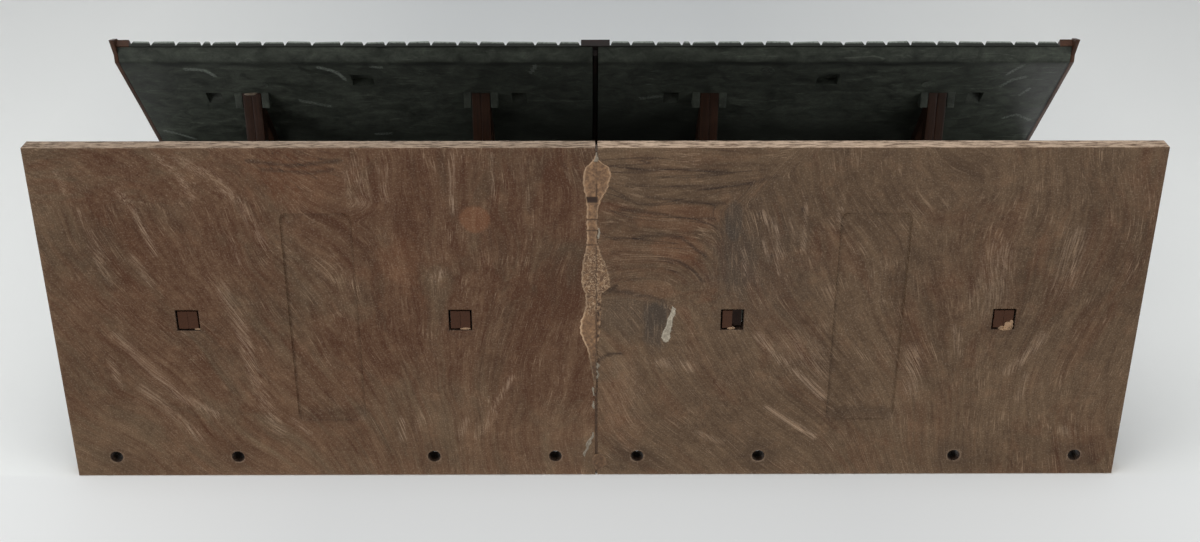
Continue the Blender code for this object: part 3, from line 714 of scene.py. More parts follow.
def holedStone(middle, half, hole, foot, top):
    # a stone with a round hole: loops from the hole's wall over the top to the outer wall, closed below.
    # Each lies at its share of the way from the circle to the rectangle's outline.
    turn = np.linspace(0, 2 * np.pi, 48, endpoint=False)
    circle = np.stack([np.cos(turn), np.sin(turn)], 1)
    square = circle / np.abs(circle).max(1, keepdims=True)
    soft = paving["kerbRound"]
    loops = []
    for share, inset, height in (
            (0, 0, foot), (0, 0, top - 0.4), (0, -0.4, top), (0.5, 0, top), (1, soft, top),
            (1, 0.3 * soft, top - 0.3 * soft), (1, 0, top - soft), (1, 0, foot)):
        inner = np.array(hole) + circle * (plate["pegHole"] + paving["holeSlack"] - inset)
        outer = np.array(middle) + square * (np.array(half) - inset)
        plan = inner + (outer - inner) * share
        loops.append(np.column_stack([plan, np.full(len(plan), height)]))
    rows, columns = len(loops), len(turn)
    first, last = np.arange(columns), np.arange(columns) + (rows - 1) * columns
    under = np.column_stack([first, np.roll(first, -1), np.roll(last, -1), last])
    return np.concatenate(loops), [gridQuads(rows, columns, ring=True), under], {}


def kerbStones(endName):
    # even blocks along both long edges; a stone over a peg's hole is pierced by it
    end = ends[endName]
    draw = np.random.default_rng(60 + end)
    count = round(plateLength / paving["kerbLength"])
    stops = np.linspace(end * paving["fromJoint"], end * plateLength, count + 1)
    half = np.abs(stops[1] - stops[0]) / 2 - paving["kerbGap"] / 2
    halfWidth = plate["kerb"] / 2 - paving["kerbGap"] / 2
    foot, top = plateTop - plate["kerbBed"] - paving["sunk"], paving["kerbTop"]
    shells, plain = [], []
    pegs = [end * plateLength / 2 + station for station in plate["pegStations"]]
    for side in sides.values():
        for x in (stops[1:] + stops[:-1]) / 2:
            middle = (x, side * (plateHalf - plate["kerb"] / 2))
            held = [peg for peg in pegs if abs(peg - x) < half] if side > 0 else []
            if held:
                hole = (held[0], plateHalf - plate["pegFromEdge"])
                shells.append(holedStone(middle, (half, halfWidth), hole, foot, top))
            else:
                plain.append(middle)
    shift = draw.uniform(*paving["kerbShift"], (len(plain), 1, 1))
    soft = paving["kerbRound"]
    halves = np.tile([half, halfWidth], (len(plain), 1))
    shells.append(raisedBlocks(np.array(plain), halves, soft, soft, foot, top, shift))
    addPiece(f"platform_kerbs_{endName}", shells, foamPaving)


for endName in ends:
    pavingSetts(endName)
    kerbStones(endName)
print("platform top made")


# Glue. Films run down the photo: a left and a right edge at each w, a raised rim and a grainy skin, with a
# flat foot sunk into the plate. Each is (rows of w and both edges, seed, height, rim, wobble, dull), and a
# bead is (middle, radii, seed, roughness).
seam = dict(
    rowStep=0.5, columns=24, foot=0.3, wrinkledTop=(40, 46), wrinkledEnd=(0, 8), wornFrom=(8, 16),
    crossLines=(61, 54.5, 46), slot=(70.8, 74.2), beadRim=0.25, slabThin=0.75, slabInto=0.3)
smear = (
    [
        (99, -0.5, -0.3), (96, -1.2, 0.8), (93, -3.4, 3.8), (91, -6, 6.9), (86, -7.2, 7.9), (80, -6.9, 6.7),
        (73.5, -6, 3), (67, -5.3, 1), (49, -5.3, 0.3), (42, -5.9, 2), (36, -7.5, 4.6), (28, -8.1, 7),
        (20.5, -7.8, 8), (16.5, -6, 3.4), (10, -5.8, 2.5), (0, -8.6, 2.6), (-8, -9.1, 2.1), (-14, -7.1, 1),
        (-18, -5.2, 0.7), (-25, -4.1, 0.5), (-35, -2.4, 0.4), (-47, -0.6, 0.3)],
    72, 0.16, 0.14)
lowSmear = ([(-88, -1, 3.4), (-91, -2.5, 5.5), (-95, -2, 6), (-99, -0.5, 2.2)], 77, 0.05, 0.04, 0.25, 0.45)
flecks = [
    (
        [
            (8.5, 41.6, 42.4), (7, 41.3, 43.6), (2, 40, 43), (-3, 38.3, 41.9), (-8, 36.8, 41.2),
            (-11, 36, 41), (-13.5, 37.2, 40), (-14.5, 38.4, 39)],
        78, 0.2, 0.12, 0.4),
    (
        [
            (-73, -2.2, -1.5), (-76, -3.6, -1.6), (-80, -5.4, -2.9), (-84, -6.4, -4.6), (-88, -7.4, -6.3),
            (-90, -7.2, -6.8)],
        79, 0.12, 0.08, 0.5, 0.45),
    ([(56, 0.6, 1.6), (53, 0.7, 2.1), (49, 0.5, 1.4)], 80, 0.12, 0.1, 0.25, 0.3),
    ([(99.5, -0.5, 0.2), (97.5, -0.7, 0.4), (95.5, -1.4, 0.8), (94, -1.6, 1.0)], 93, 0.3, 0.1, 0.25, 0.35),
    (
        [(-26, -0.6, 0.4), (-29, 0.3, 1.5), (-32, -0.3, 0.7), (-35, 0.5, 1.4), (-38, 0.0, 0.5)], 73, 0.12,
        0.08, 0.4, 0.5),
    (
        [(-43, -2.2, -1.2), (-45, -2.7, -1.3), (-47, -2.4, -1.2), (-49, -1.6, -0.9)], 74, 0.12, 0.08, 0.3,
        0.4),
    ([(-52, -1.9, -1.0), (-55, -2.1, -0.9), (-58, -1.6, -0.8)], 75, 0.12, 0.08, 0.3, 0.4)]
beads = [
    ((-220.2, 5.6, 0.7), (1.6, 0.6, 0.6), 81, 0.2), ((-72.6, 5.6, 0.7), (2.6, 0.7, 0.6), 83, 0.2),
    ((74.4, 5.6, 0.8), (2.2, 0.8, 0.6), 85, 0.2), ((228.6, 4.4, 0.5), (1.9, 2.5, 0.8), 86, 0.35),
    ((226.0, 6.0, 0.4), (3.0, 1.5, 0.7), 87, 0.35), ((229.8, 2.6, 0.6), (1.1, 1.6, 0.6), 88, 0.35)]


def film(shape, seed, height, rim, wobble=0.25, dull=0.0, joint=False):
    # x runs by share from the left edge to the right one at each w. The skin rises with the distance from the
    # nearer edge, has a bell-shaped rim close to it, and is roughened by ripples.
    w, left, right = np.array(shape, float).T
    rows = np.arange(w.max(), w.min(), -seam["rowStep"])
    order = np.argsort(w)
    edgeLeft, edgeRight = (
        np.interp(rows, w[order], edge[order]) + wobble * ripple(rows, rows * 0, 5, seed + i)
        for i, edge in enumerate((left, right)))
    edgeRight = np.maximum(edgeRight, edgeLeft + 0.3)
    share = np.linspace(0, 1, seam["columns"])
    x = edgeLeft[:, None] + (edgeRight - edgeLeft)[:, None] * share
    up = np.repeat(rows[:, None], len(share), 1)
    inward = np.minimum(x - edgeLeft[:, None], edgeRight[:, None] - x)
    roll = np.exp(-((inward - 0.6) / 0.4) ** 2)
    body = height * ease(inward, 0, 0.5) + rim * roll
    body = body * (1 + 0.3 * ripple(x, up, 2.2, seed + 2)) * ease(inward, 0, 0.15)
    thin, wrinkled, lit = (np.full_like(x, value) for value in (dull, 0, 0.35))
    if joint:
        # the rolled rim is pale on the left edge below the lobes
        lit = np.where(share < 0.5, 0.55 + 0.4 * (1 - ease(up, 30, 44)), 0.45)
        # the joint shows as a dark groove, some cross lines and a slot; the right half is worn lower down
        wander = 0.25 * ripple(up, up * 0, 9, seed + 3)
        strength = 0.35 + 0.55 * (ease(up, 73, 75) * (1 - ease(up, 80, 84)) + 1 - ease(up, 43, 46))
        groove = np.exp(-((x - wander) / 0.4) ** 2) * strength
        for at in seam["crossLines"]:
            groove = np.maximum(groove, 0.8 * np.exp(-((up - at - 0.3 * wander) / 0.45) ** 2) * (x < 1.2))
        slotLow, slotHigh = (ease(up, at - 0.4, at + 0.4) for at in seam["slot"])
        inSlot = slotLow * (1 - slotHigh) * ease(inward, 0.3, 0.8)
        groove = np.maximum(groove, inSlot * (1 - ease(x, 0.3, 1.2)))
        body = body * (1 - 0.95 * groove)
        worn = ease(x, 0, 0.8) * (1 - ease(up, *seam["wornFrom"]))
        thin = np.maximum(groove, worn * (0.4 + 0.5 * ripple(x, up, 3, seed + 4)))
        wrinkled = (1 - ease(up, *seam["wrinkledTop"])) * ease(up, *seam["wrinkledEnd"])
        # and the tail runs out thin
        thin = np.maximum(np.maximum(thin, 0.3 * wrinkled), 0.55 * (1 - ease(up, -32, -10)))
    skin = np.stack([x, -up, -body], -1)
    foot = np.stack([x[:, ::-1][:, ::7], -up[:, ::7], np.full_like(up[:, ::7], seam["foot"])], -1)
    points = np.concatenate([skin, foot], 1)
    thin = np.clip(thin, 0, 1)
    marks = {"thin": thin, "rim": lit * roll * (1 - thin), "wrinkled": 0.9 * wrinkled}
    none = np.zeros(foot.shape[:2])
    marks = {key: np.concatenate([values, none], 1).ravel() for key, values in marks.items()}
    return points.reshape(-1, 3), tubeFaces(*points.shape[:2]), marks


def lump(middle, radii, seed, rough, dull, rim):
    # a bead of glue: a ball of rows and columns, squashed to three radii and roughened
    up, turn = np.meshgrid(np.linspace(0.08, np.pi - 0.08, 12),
                           np.linspace(0, 2 * np.pi, 20, endpoint=False), indexing="ij")
    size = 1 + rough * ripple(3 * up, 2 * np.cos(turn) + seed, 3, seed)
    ball = np.stack([np.sin(up) * np.cos(turn), np.sin(up) * np.sin(turn), np.cos(up)], -1) * size[..., None]
    points = (np.array(middle) + ball * np.array(radii)).reshape(-1, 3)
    return points, tubeFaces(*up.shape), evenMarks(points, thin=dull, rim=rim, wrinkled=0)


(_, front, low), (_, back, high) = np.array(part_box("joint_glue")) / mm
slabX = plateBox["left"][1][0] - seam["slabInto"], plateBox["right"][0][0] + seam["slabInto"]
jointSlab = flatBar([(front, low), (front, high)], [(back, low), (back, high)], *slabX, 0.1, 71, grain=0.02)
jointSlab = (*jointSlab[:2], evenMarks(jointSlab[0], thin=seam["slabThin"], rim=0, wrinkled=0))
addPiece("joint_glue_smear", [jointSlab, film(*smear, joint=True), film(*lowSmear)], tanGlue,
         ["joint_glue"])
addPiece("glue_flecks", [film(*fleck) for fleck in flecks], whiteGlue)
addPiece("post_foot_glue", [lump(*bead, 0, seam["beadRim"]) for bead in beads], tanGlue)
print("glue made")


# Roof slopes share one section. d runs down the slope from the ridge, o is the height above its underside.
roof = dict(
    pitch=math.radians(40.8), creaseY=87.0, soffit=181.0, soffitWidth=11.3, slab=7.0, bed=7.7, butt=11.0,
    step=1.8, courses=9, inner=1.8, outer=300.3, shingleFrom=9.35, shingleTo=292.3, ridgeGap=0.15,
    boardLow=6.7, boardHigh=11.3, boardPast=0.5)
sinP, cosP = math.sin(roof["pitch"]), math.cos(roof["pitch"])
creaseY, soffit, eaveY = roof["creaseY"], roof["soffit"], roof["creaseY"] + roof["soffitWidth"]
ridgeZ = soffit + creaseY * math.tan(roof["pitch"])
eaveD = eaveY * cosP + (ridgeZ - soffit) * sinP


def onSlope(d, o):
    # (y, z) at d down the slope and o square to it
    return np.stack(np.broadcast_arrays(d * cosP + o * sinP, ridgeZ - d * sinP + o * cosP), -1)


def slopeAtY(y, o):
    # the same, at a distance y from the ridge's plane
    return onSlope((y - o * sinP) / cosP, o)


def slopeAtHeight(z, o):
    # the same, at a height z
    return onSlope((ridgeZ + o * cosP - z) / sinP, o)


def mirrored(shells, side):
    # shells drawn for the back slope, put on the front slope when side is -1
    return [(points * np.array([1, side, 1]), faces, marks) for points, faces, marks in shells]


# Frames: each half has its post, tie beam, rafters, king post and braces, with moulded wood grain
truss = dict(
    foot=0.6, deepFoot=3.2, deepHalf="frame_3_right_half", split=0.02, beamUnder=206.1, beamDepth=10.0,
    rafterDepth=7.0, kingHalf=4.5, kingInset=0.15, rafterInset=0.06, braceInto=1, kingInto=1.5,
    braceReach=18.0, braceDepth=6.0, braceHalf=3.6, clear=-0.3, edge=0.3, drawnIn=0.6, leadIn=6.0,
    postEdge=0.15)


def frameHalf(number, endName):
    # every member is a straight bar between two pairs of (y, z) corners, from the split outwards in X
    end, station = ends[endName], postStations[number - 1]
    name = f"frame_{number}_{endName}_half"
    seed = 100 + 20 * number + 5 * end
    foot = truss["deepFoot"] if name == truss["deepHalf"] else truss["foot"]
    beamLow, beamHigh = truss["beamUnder"], truss["beamUnder"] + truss["beamDepth"]
    rafterLow, rafterHigh = truss["clear"] - truss["rafterDepth"], truss["clear"]

    def member(start, finish, index, width=postHalf, inset=0.0):
        x = sorted((station + end * truss["split"], station + end * (width - inset)))
        return flatBar(start, finish, *x, truss["edge"], seed + index)

    p, king = postHalf, truss["kingHalf"]
    beamEnds = [(slopeAtHeight(z, rafterHigh)[0], z) for z in (beamLow, beamHigh)]
    kingTop = slopeAtY(king, rafterLow)[1] + truss["kingInto"]
    # the post's foot is drawn in, so a dark gap shows round it in the base's hole
    z = np.concatenate([[foot], np.linspace(foot + truss["leadIn"], beamLow, 48)])
    inset, none = truss["drawnIn"] * (z == foot), 0 * z
    corner = np.column_stack([none + station + end * truss["split"], inset - p, z])
    across = np.column_stack([end * (p - truss["split"] - inset), none, none])
    shells = [bar(corner, across, np.column_stack([none, 2 * (p - inset), none]), truss["postEdge"], seed),
              member([(-y, z) for y, z in beamEnds], beamEnds, 1),
              member(*[[(-king, z), (king, z)] for z in (beamHigh, kingTop)], 2, inset=truss["kingInset"])]
    low, span = beamLow - truss["braceReach"], truss["braceDepth"] * math.sqrt(2)
    into = truss["braceInto"]
    near, far = p - into, p + truss["braceReach"] + into
    for side in sides.values():
        rafter = member([slopeAtHeight(beamHigh, rafterLow), slopeAtHeight(beamHigh, rafterHigh)],
                        [slopeAtY(0.1, rafterLow), slopeAtY(0.1, rafterHigh)], 3 + side,
                        inset=truss["rafterInset"])
        brace = member([(near, low - into), (near, low - into + span)],
                       [(far, beamLow + into), (far - span, beamLow + into)], 7 + side,
                       width=truss["braceHalf"])
        shells += mirrored([rafter, brace], side)
    addPiece(f"truss_{number}_{endName}", shells, postPlastic, [name])


for number in range(1, 5):
    for endName in ends:
        frameHalf(number, endName)
beamGlue = [((postStations[0] - 1.0, -57.0, 206.2), (3.4, 1.0, 0.8), 91),
            ((postStations[0] + 2.2, -57.7, 206.5), (1.8, 0.8, 0.8), 92)]
addPiece("beam_glue", [lump(*bead, 0.2, 0.85, 0) for bead in beamGlue], whiteGlue)
print("frames made")


# Roof slope underside: one moulding with seat notches and a pocket pressed into it, ribs beside the tie
# beams and faint ejector discs. Lines lie close together where a wall stands. Scuffs are strokes at X and
# distance from the ridge's plane, on the slope that the photo shows.
slope = dict(
    lineStep=1.5, wall=0.06, wave=0.10, notchAt=100, notch=10, notchY=(47.5, 57.7), pocket=14,
    pocketY=(65.5, 75.5), pocketDepth=4.5, ribWidth=4.9, ribClear=0.3, ribEdge=0.3, ribLevel=10.6,
    ribWorn=0.08, disc=4.2, discWorn=0.2, vergeGap=1.2, discs=((-40, 79), (66, 66), (-72, 30), (70, 20)),
    # painted shade of the inner front slopes, for each end
    grime=dict(left=0.45, right=0.75),
    scuffs=[
        (0.5, 2.4, (-261, 81), (-255, 80.6), (-248, 79.3), (-244, 74.5)),
        (0.5, 2.2, (-142, 83), (-136, 82.5)),
        (0.5, 2.6, (-176, 82.5), (-169, 80), (-164.5, 77.3), (-161, 71)), (0.35, 3, (-195, 50), (-176, 44)),
        (0.4, 2.4, (-295, 17.7), (-286, 14.3), (-277, 8.7)), (0.4, 3, (-41, 78), (-38, 84)),
        (0.35, 2.4, (-151, 14), (-140, 15)), (0.38, 2.4, (264, 75), (267.5, 79.7), (272, 84.5)),
        (0.36, 2.6, (264, 64), (269, 70), (277, 73)), (0.36, 2.4, (276, 31), (284, 35), (295, 29)),
        (0.34, 2.2, (279, 55), (284, 62)), (0.35, 3, (30, 52), (43, 54))])


def roofPanel(endName, sideName):
    # one section of (y, z) points carried along x; notches, pocket and a slight wave move its underside
    end, side = ends[endName], sides[sideName]
    seed = 200 + 7 * end + 3 * side
    middle = plateLength / 2
    notches = [middle - slope["notchAt"], middle + slope["notchAt"]]
    halfNotch, halfPocket = slope["notch"] / 2, slope["pocket"] / 2
    xWalls = [at + way * halfNotch for at in notches for way in (-1, 1)]
    xWalls += [middle - halfPocket, middle + halfPocket, roof["outer"] - slope["vergeGap"]]
    lines = functools.partial(wallLines, step=slope["lineStep"], apart=slope["wall"] / 2, clear=0.4)
    xs = lines(roof["inner"], roof["outer"], walls=xWalls)
    yUnder = lines(roof["ridgeGap"], creaseY - 1.2, walls=[*slope["notchY"], *slope["pocketY"]])
    crease = [(creaseY - 0.5, soffit + 0.52), (creaseY + 0.15, soffit + 0.16), (creaseY + 1.0, soffit)]
    level = [(y, soffit) for y in np.linspace(creaseY + 3, eaveY - 0.3, 4)]
    edge = [(eaveY, soffit + 0.25), onSlope(eaveD, roof["slab"] + 0.2)]
    top = [*onSlope(np.linspace(eaveD - 2, 8, 6), roof["slab"]), slopeAtY(roof["ridgeGap"], roof["slab"])]
    section = np.concatenate([slopeAtY(yUnder, 0), crease, level, edge, top])
    x, y = np.meshgrid(xs, section[:, 0], indexing="ij")
    z = np.repeat(section[None, :, 1], len(xs), 0)
    under = np.arange(len(section)) < len(yUnder)
    # a seat notch lifts the underside to a level floor, the pocket lifts it square to the slope
    inNotchY, inPocketY = ((y > low) & (y < high) & under
                           for low, high in (slope["notchY"], slope["pocketY"]))
    seat = (np.minimum(*[np.abs(x - at) for at in notches]) < halfNotch) & inNotchY
    z = np.where(seat, slopeAtY(slope["notchY"][0], 0)[1], z)
    pressed = (np.abs(x - middle) < halfPocket) & inPocketY
    y = y + pressed * slope["pocketDepth"] * sinP
    z = z + pressed * slope["pocketDepth"] * cosP
    inner = under & ~seat & ~pressed
    wave = ripple(x, y, 40, seed) + 0.5 * ripple(x, y, 14, seed + 1)
    z = z + inner * slope["wave"] * wave * ease(y, 2, 10)
    # painted shade runs unevenly along the crease
    fromCrease = y - creaseY - 0.6 * ripple(x, 0 * x, 30, seed + 2)
    stain = np.exp(-((fromCrease + 1.0) / 1.8) ** 2) * (0.85 + 0.5 * ripple(x, 0 * x, 45, seed + 3))
    stain = np.clip(stain, 0, 0.95) * (z < soffit + 8)
    worn = 0 * x
    if side < 0:
        # painted shade darkens the front slopes towards the ridge and joint,
        # and a painted shadow lies beside the right verge board
        grime = slope["grime"][endName] * (1 - ease(y, 12, 48))
        grime = grime + 0.35 * (1 - ease(x, 20, 110)) * (1 - ease(y, 30, 75))
        gap = (x > roof["outer"] - slope["vergeGap"]) * (end > 0)
        allShade = np.maximum(stain, np.maximum(grime * (1 - ease(x, 190, 280)), gap))
        stain = np.where(under, np.clip(allShade, 0, 1), stain)
        for power, width, *places in slope["scuffs"]:
            worn = np.maximum(worn, power * stroke(end * x, y, width, places))
    shells = [(np.stack([end * x, y, z], -1).reshape(-1, 3), tubeFaces(*x.shape),
               {"stain": stain.ravel(), "worn": (worn * under).ravel()})]

    # a pair of ribs holds each tie beam's end, their undersides level with the beam's
    ribLow = truss["beamUnder"]
    ribFar = slopeAtHeight(ribLow, 0)[0]
    ribEnds = [[(y, ribLow), slopeAtY(y, 1)] for y in (ribFar - slope["ribLevel"], ribFar)]
    ribFrom = postHalf + slope["ribClear"]
    ribTo = ribFrom + slope["ribWidth"]
    for station in [station for station in postStations if station * end > 0]:
        for way in (-1, 1):
            ribX = sorted((station + way * ribFrom, station + way * ribTo))
            rib = flatBar(*ribEnds, *ribX, slope["ribEdge"], seed + 5, step=2, grain=0.03)
            shells.append((*rib[:2], evenMarks(rib[0], stain=0, worn=slope["ribWorn"])))
    # ejector discs, hardly proud of the underside: rings of points that step up from below the surface
    reach, turn = np.meshgrid(slope["disc"] * np.array([1.06, 1, 0.9, 0.8]),
                              np.linspace(0, 2 * np.pi, 28, endpoint=False), indexing="ij")
    height = np.array([0.2, -0.12, -0.16, -0.06])[:, None]
    for along, discY in slope["discs"]:
        spotY, spotZ = slopeAtY(discY, 0)
        run = reach * np.sin(turn)
        disc = np.stack([end * (middle + along) + reach * np.cos(turn), spotY + run * cosP + height * sinP,
                         spotZ - run * sinP + height * cosP], -1).reshape(-1, 3)
        shells.append((disc, tubeFaces(*turn.shape), evenMarks(disc, stain=0, worn=slope["discWorn"])))
    addPiece(f"roof_slope_{endName}_{sideName}", mirrored(shells, side), roofSlate,
             [f"roof_panel_{endName}_{sideName}"])


# Shingles: nine courses of tabs on a bed. The eave course has the photo's tab widths, and the courses above
# repeat it from another starting tab. Each tab leans and its lower edge is pale; painted shade darkens the
# lower part of its butt and the bed under the tabs.
shingle = dict(
    widths=(
        12, 14.4, 15, 5.6, 14.7, 14.7, 13, 15.6, 17, 13, 12.5, 12.2, 14, 15.3, 12.2, 15.6, 17, 13.4, 12.8),
    gap=0.2, corner=0.4, rounding=1.4, turnBy=5, vary=(0.8, 1.2), lean=0.03, raised=(-0.25, 0.15), sunk=0.4,
    highest=0.15, thinnest=0.25, overhang=(0.1, 0.6), headLap=1.5, lastLap=-0.6, bedStain=0.3)


def shingleCourses(endName, sideName):
    # each tab is a slanted pillow at a along the roof and b down it. Up the slope, its top falls from the
    # butt by one step per exposure of a course, plus its own lean along a.
    end, side = ends[endName], sides[sideName]
    draw = np.random.default_rng(300)        # one mould for all four slopes
    tabs, courses, butt = len(shingle["widths"]), roof["courses"], roof["butt"]
    run = roof["shingleTo"] - roof["shingleFrom"]
    exposure = (eaveD + butt * sinP / cosP) / courses
    middles, halves, foots = [], [], []
    for course in range(courses):
        widths = np.roll(shingle["widths"], shingle["turnBy"] * course)
        widths = widths * (1 if course == 0 else draw.uniform(*shingle["vary"], tabs))
        stops = np.concatenate([[0], np.cumsum(widths)])
        stops = stops / stops[-1] * run
        foot = eaveD - course * exposure + draw.uniform(*shingle["overhang"], tabs)
        head = eaveD - (course + 1) * exposure - shingle["headLap" if course < courses - 1 else "lastLap"]
        centre, halfWidth = between(stops, shingle["gap"])
        middles.append(np.column_stack([centre, (foot + head) / 2]))
        halves.append(np.column_stack([halfWidth, (foot - head) / 2]))
        foots.append(np.full(tabs, eaveD - course * exposure))
    middle, half, foots = (np.concatenate(rows) for rows in (middles, halves, foots))
    foots = foots[:, None, None]
    low = roof["slab"] - shingle["sunk"]
    a, b, lift, faces = pillows(middle, half, shingle["corner"], shingle["rounding"], butt - low, True)
    lean = draw.normal(0, shingle["lean"], (len(middle), 1, 1))
    raised = draw.uniform(*shingle["raised"], (len(middle), 1, 1))
    top = butt - roof["step"] * (foots - b) / exposure + lean * (a - middle[:, 0, None, None]) + raised
    thick = np.minimum(top, butt + shingle["highest"]) - low
    o = low + lift * np.maximum(thick, shingle["thinnest"])
    worn = ease(b, foots - 5, foots - 1) * ease(lift, 0.45, 0.8)
    worn = np.maximum(worn, 0.35 * ease(lift, 0.6, 1) * (0.5 + 0.5 * ripple(a, b, 9, 301)))
    # painted shade on the lower part of each butt
    stain = 0.85 * (1 - ease(lift, 0.38, 0.8))
    # the mould is turned half round for the back slopes, and the right section repeats the left one
    x = roof["shingleTo"] - a if side > 0 else roof["shingleFrom"] + a
    x = x if end > 0 else x - roof["shingleFrom"] - roof["shingleTo"]
    points = np.concatenate([x[..., None], onSlope(b, o)], -1).reshape(-1, 3)
    xs = sorted((end * roof["shingleFrom"], end * roof["shingleTo"]))
    heights = (roof["slab"] - 0.3, roof["bed"])
    bed = flatBar([slopeAtY(0.2, o) for o in heights], [onSlope(eaveD - 0.1, o) for o in heights],
                  *xs, 0.25, 302, faceStep=8, grain=0.04)
    # the bed under the tabs takes painted shade too
    shells = [(points, faces, {"worn": worn.ravel(), "stain": stain.ravel()}),
              (*bed[:2], evenMarks(bed[0], worn=0, stain=shingle["bedStain"]))]
    addPiece(f"shingles_{endName}_{sideName}", mirrored(shells, side), roofSlate)


for endName in ends:
    for sideName in sides:
        roofPanel(endName, sideName)
        shingleCourses(endName, sideName)
print("roof slopes and shingles made")


# Verge boards, the strips over the joint and the ridge caps: moulded boards with grain
board = dict(
    webInner=300.35, webOuter=303.1, flangeInner=292.6, noseStart=(92, 181), noseTip=(103.8, 175),
    noseRise=0.8, stripHalf=9.05, stemHalf=1.4, stemLow=3.6, stemInto=1, stemOver=1, stemShort=3.5,
    stemEdge=0.3, flangeInto=0.2, capPast=1.4, capClear=0.3, capLeg=18, capThickness=1.8, edge=0.45)
boardEnd = eaveD + roof["boardPast"]


def atRidge(o):
    # the slope's upper end, at the gap along the ridge
    return slopeAtY(roof["ridgeGap"], o)


def flange(xLow, xHigh, seed):
    # a flat board down the slope, from the ridge to just past the eave
    heights = (roof["boardLow"], roof["boardHigh"])
    return flatBar([atRidge(o) for o in heights], [onSlope(boardEnd, o) for o in heights], xLow, xHigh,
                   board["edge"], seed)


def vergeTrim(endName, sideName):
    end, side = ends[endName], sides[sideName]
    seed = 400 + 9 * end + 4 * side
    # the web's lower edge follows the slope's underside, then droops to its nose
    corners = np.array([atRidge(0), (creaseY, soffit), board["noseStart"], board["noseTip"]])
    stations = np.concatenate([[0], np.cumsum(np.linalg.norm(np.diff(corners, axis=0), axis=1))])
    rows = np.sort(np.concatenate([np.linspace(0, stations[-1], 44), stations[1:3]]))
    low = np.column_stack([np.interp(rows, stations, corners[:, axis]) for axis in (0, 1)])
    start, finish = atRidge(roof["boardHigh"]), onSlope(boardEnd, roof["boardHigh"] + board["noseRise"])
    high = start + (finish - start) * (rows / stations[-1])[:, None]
    webX = sorted((end * board["webInner"], end * board["webOuter"]))
    flangeX = sorted((end * board["flangeInner"], end * (board["webInner"] + board["flangeInto"])))
    shells = [pathBar(low, high, *webX, board["edge"], seed), flange(*flangeX, seed + 1)]
    addPiece(f"verge_board_{endName}_{sideName}", mirrored(shells, side), trimPlastic,
             [f"verge_trim_{endName}_{sideName}"])


def jointStrip(sideName):
    # a T: a flange over the joint and a stem that hangs into it
    side, stemHigh = sides[sideName], roof["boardLow"] + board["stemInto"]
    seed = 440 + side
    stemEnd = [slopeAtHeight(soffit + board["stemOver"], board["stemLow"]),
               onSlope(eaveD - board["stemShort"], stemHigh)]
    stem = flatBar([atRidge(board["stemLow"]), atRidge(stemHigh)], stemEnd, -board["stemHalf"],
                   board["stemHalf"], board["stemEdge"], seed + 5)
    shells = [flange(-board["stripHalf"], board["stripHalf"], seed), stem]
    addPiece(f"joint_board_{sideName}", mirrored(shells, side), jointPlastic,
             [f"roof_joint_strip_{sideName}"])


def ridgeCap(endName):
    # a flat leg down each slope from the apex, carried along x
    end = ends[endName]
    low = roof["butt"] + board["capClear"]
    apexD = -low * sinP / cosP
    xs = np.linspace(*sorted((end * roof["shingleFrom"], end * roof["shingleTo"])), 60)
    start, finish = onSlope(apexD - board["capPast"], low), onSlope(apexD + board["capLeg"], low)
    normal = onSlope(0, board["capThickness"]) - onSlope(0, 0)
    corner, across, deep = (np.column_stack([x, np.ones((len(xs), 1)) * yz])
                            for x, yz in ((xs, start), (0 * xs, finish - start), (0 * xs, normal)))
    shells = []
    for side in sides.values():
        shells += mirrored([bar(corner, across, deep, board["edge"], 460 + 3 * end + side)], side)
    addPiece(f"ridge_board_{endName}", shells, trimPlastic, [f"ridge_cap_{endName}"])


for endName in ends:
    ridgeCap(endName)
    for sideName in sides:
        vergeTrim(endName, sideName)
for sideName in sides:
    jointStrip(sideName)
print("boards and ridge caps made")


# The stage, in metres: a pale table that the object lies on, painted paler towards its ends as side light,
# and a pale floor for views from above. Each shows only from its own front, so neither hides the object from
# behind.
stage = dict(
    table="#d8dada", tableSides="#f0f1ef", floor="#d5d6d5", horizon="#d9dadb", tableFoot=(0.10205, 0),
    tableHead=(0.10385, 0.175), reach=2.2, floorReach=8.0, floorDrop=0.0006, tableFade=(1.25, 1.9),
    floorFade=(0.45, 1.1), sidesFrom=(0.15, 0.5), roomColour=(0.95, 0.97, 1.0, 1), roomLight=0.36)


def oneSided(name, colour, litEndColour, fade):
    # diffuse from the front; clear from the back and to shadow rays
    material, add = newMaterial(name)
    material.cycles.emission_sampling = "NONE"
    path = add("LightPath").node.outputs
    hide = add("Math MAXIMUM", add("NewGeometry", out="Backfacing"), path["Is Shadow Ray"])
    place = add("TexCoord", out="Object")
    # painted light: the table grows paler away from its middle in X
    aside = add("Math ABSOLUTE", add("SeparateXYZ", place, out="X"))
    tone = add("Mix", add("MapRange", aside, *stage["sidesFrom"]), colour, litEndColour)
    # far from the object the camera sees the horizon's plain tone
    far = add("MapRange", add("VectorMath LENGTH", place), *fade)
    far = add("Math MULTIPLY", far, path["Is Camera Ray"])
    plain = add("MixShader", far, add("BsdfDiffuse", tone), add("Emission", stage["horizon"], 1.0))
    add("OutputMaterial", add("MixShader", hide, plain, add("BsdfTransparent")))
    return material


def stagePlane(name, reach, low, high, material):
    # low and high are the (y, z) of its two long edges
    mesh = bpy.data.meshes.new(name)
    mesh.from_pydata([(-reach, *low), (reach, *low), (reach, *high), (-reach, *high)], [], [(0, 1, 2, 3)])
    mesh.materials.append(material)
    plane = bpy.data.objects.new(name, mesh)
    bpy.context.scene.collection.objects.link(plane)


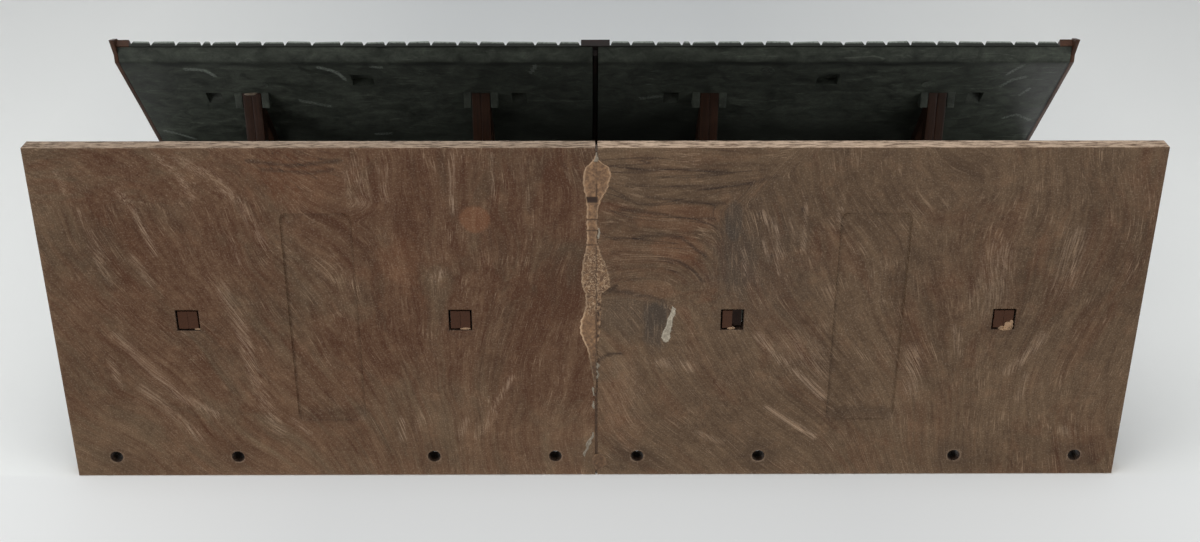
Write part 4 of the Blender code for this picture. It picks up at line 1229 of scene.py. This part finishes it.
reach, far, drop = stage["reach"], stage["floorReach"], -stage["floorDrop"]
(footY, footZ), (headY, headZ) = stage["tableFoot"], stage["tableHead"]
lean = reach * (headY - footY) / (headZ - footZ)
stagePlane("table", reach, (footY - lean, -reach), (footY + lean, reach),
           oneSided("pale_table", stage["table"], stage["tableSides"], stage["tableFade"]))
stagePlane("floor", far, (-far, drop), (far, drop),
           oneSided("pale_floor", stage["floor"], stage["floor"], stage["floorFade"]))

world = bpy.data.worlds.new("soft_room")
bpy.context.scene.world = world
world.use_nodes = True
world.node_tree.nodes.clear()
add = functools.partial(addNode, world.node_tree)
path = add("LightPath").node.outputs
seen = add("Math MAXIMUM", path["Is Camera Ray"], path["Is Glossy Ray"])
seen = add("Math MAXIMUM", seen, path["Is Transmission Ray"])
room = add("Background", stage["roomColour"], stage["roomLight"])
add("OutputWorld", add("MixShader", seen, room, add("Background", stage["horizon"], 1.0)))

# soft round lamps: place and aim in metres, width, power
lamps = dict(
    windowAbove=((-0.2, -1.7, -0.5), (0, 0, 0.08), 1.6, 25),
    roomBelow=((0.2, 0.5, -2.0), (0, 0, 0), 1.6, 18), leftWindow=((-1.9, -0.1, -1.3), (0, 0, 0.1), 1.2, 25),
    rightWindow=((1.9, -0.1, -1.3), (0, 0, 0.1), 1.2, 22),
    overhead=((-0.5, 0.5, 2.1), (0, 0, 0.1), 1.6, 22), backFill=((0.9, 2.6, 1.6), (0, 0, 0.1), 1.8, 26))
for lampName, (at, aim, size, power) in lamps.items():
    light = bpy.data.lights.new(lampName, "AREA")
    light.shape, light.size, light.energy = "DISK", size, power
    holder = bpy.data.objects.new(lampName, light)
    turned = (mathutils.Vector(aim) - mathutils.Vector(at)).to_track_quat("-Z", "Y")
    holder.matrix_world = mathutils.Matrix.Translation(at) @ turned.to_matrix().to_4x4()
    holder.visible_camera = False
    bpy.context.scene.collection.objects.link(holder)

# The camera, fitted to the photo: its place in metres, and its right, up and backward directions
view = dict(
    at=(-0.00281, -0.40143, -0.74254), right=(0.99998244, -0.00132638, -0.00577604),
    up=(0.00139624, -0.89446934, 0.44712711), back=(-0.00575955, -0.44712733, -0.89445178), lens=45.9,
    sensor=36)
cameraData = bpy.data.cameras.new("camera")
cameraData.sensor_fit, cameraData.sensor_width, cameraData.lens = "HORIZONTAL", view["sensor"], view["lens"]
camera = bpy.data.objects.new("camera", cameraData)
axes = np.eye(4)
axes[:3] = np.column_stack([view[key] for key in ("right", "up", "back", "at")])
camera.matrix_world = mathutils.Matrix(axes.tolist())
bpy.context.scene.collection.objects.link(camera)
bpy.context.scene.camera = camera
bpy.context.scene.view_settings.view_transform = "Standard"
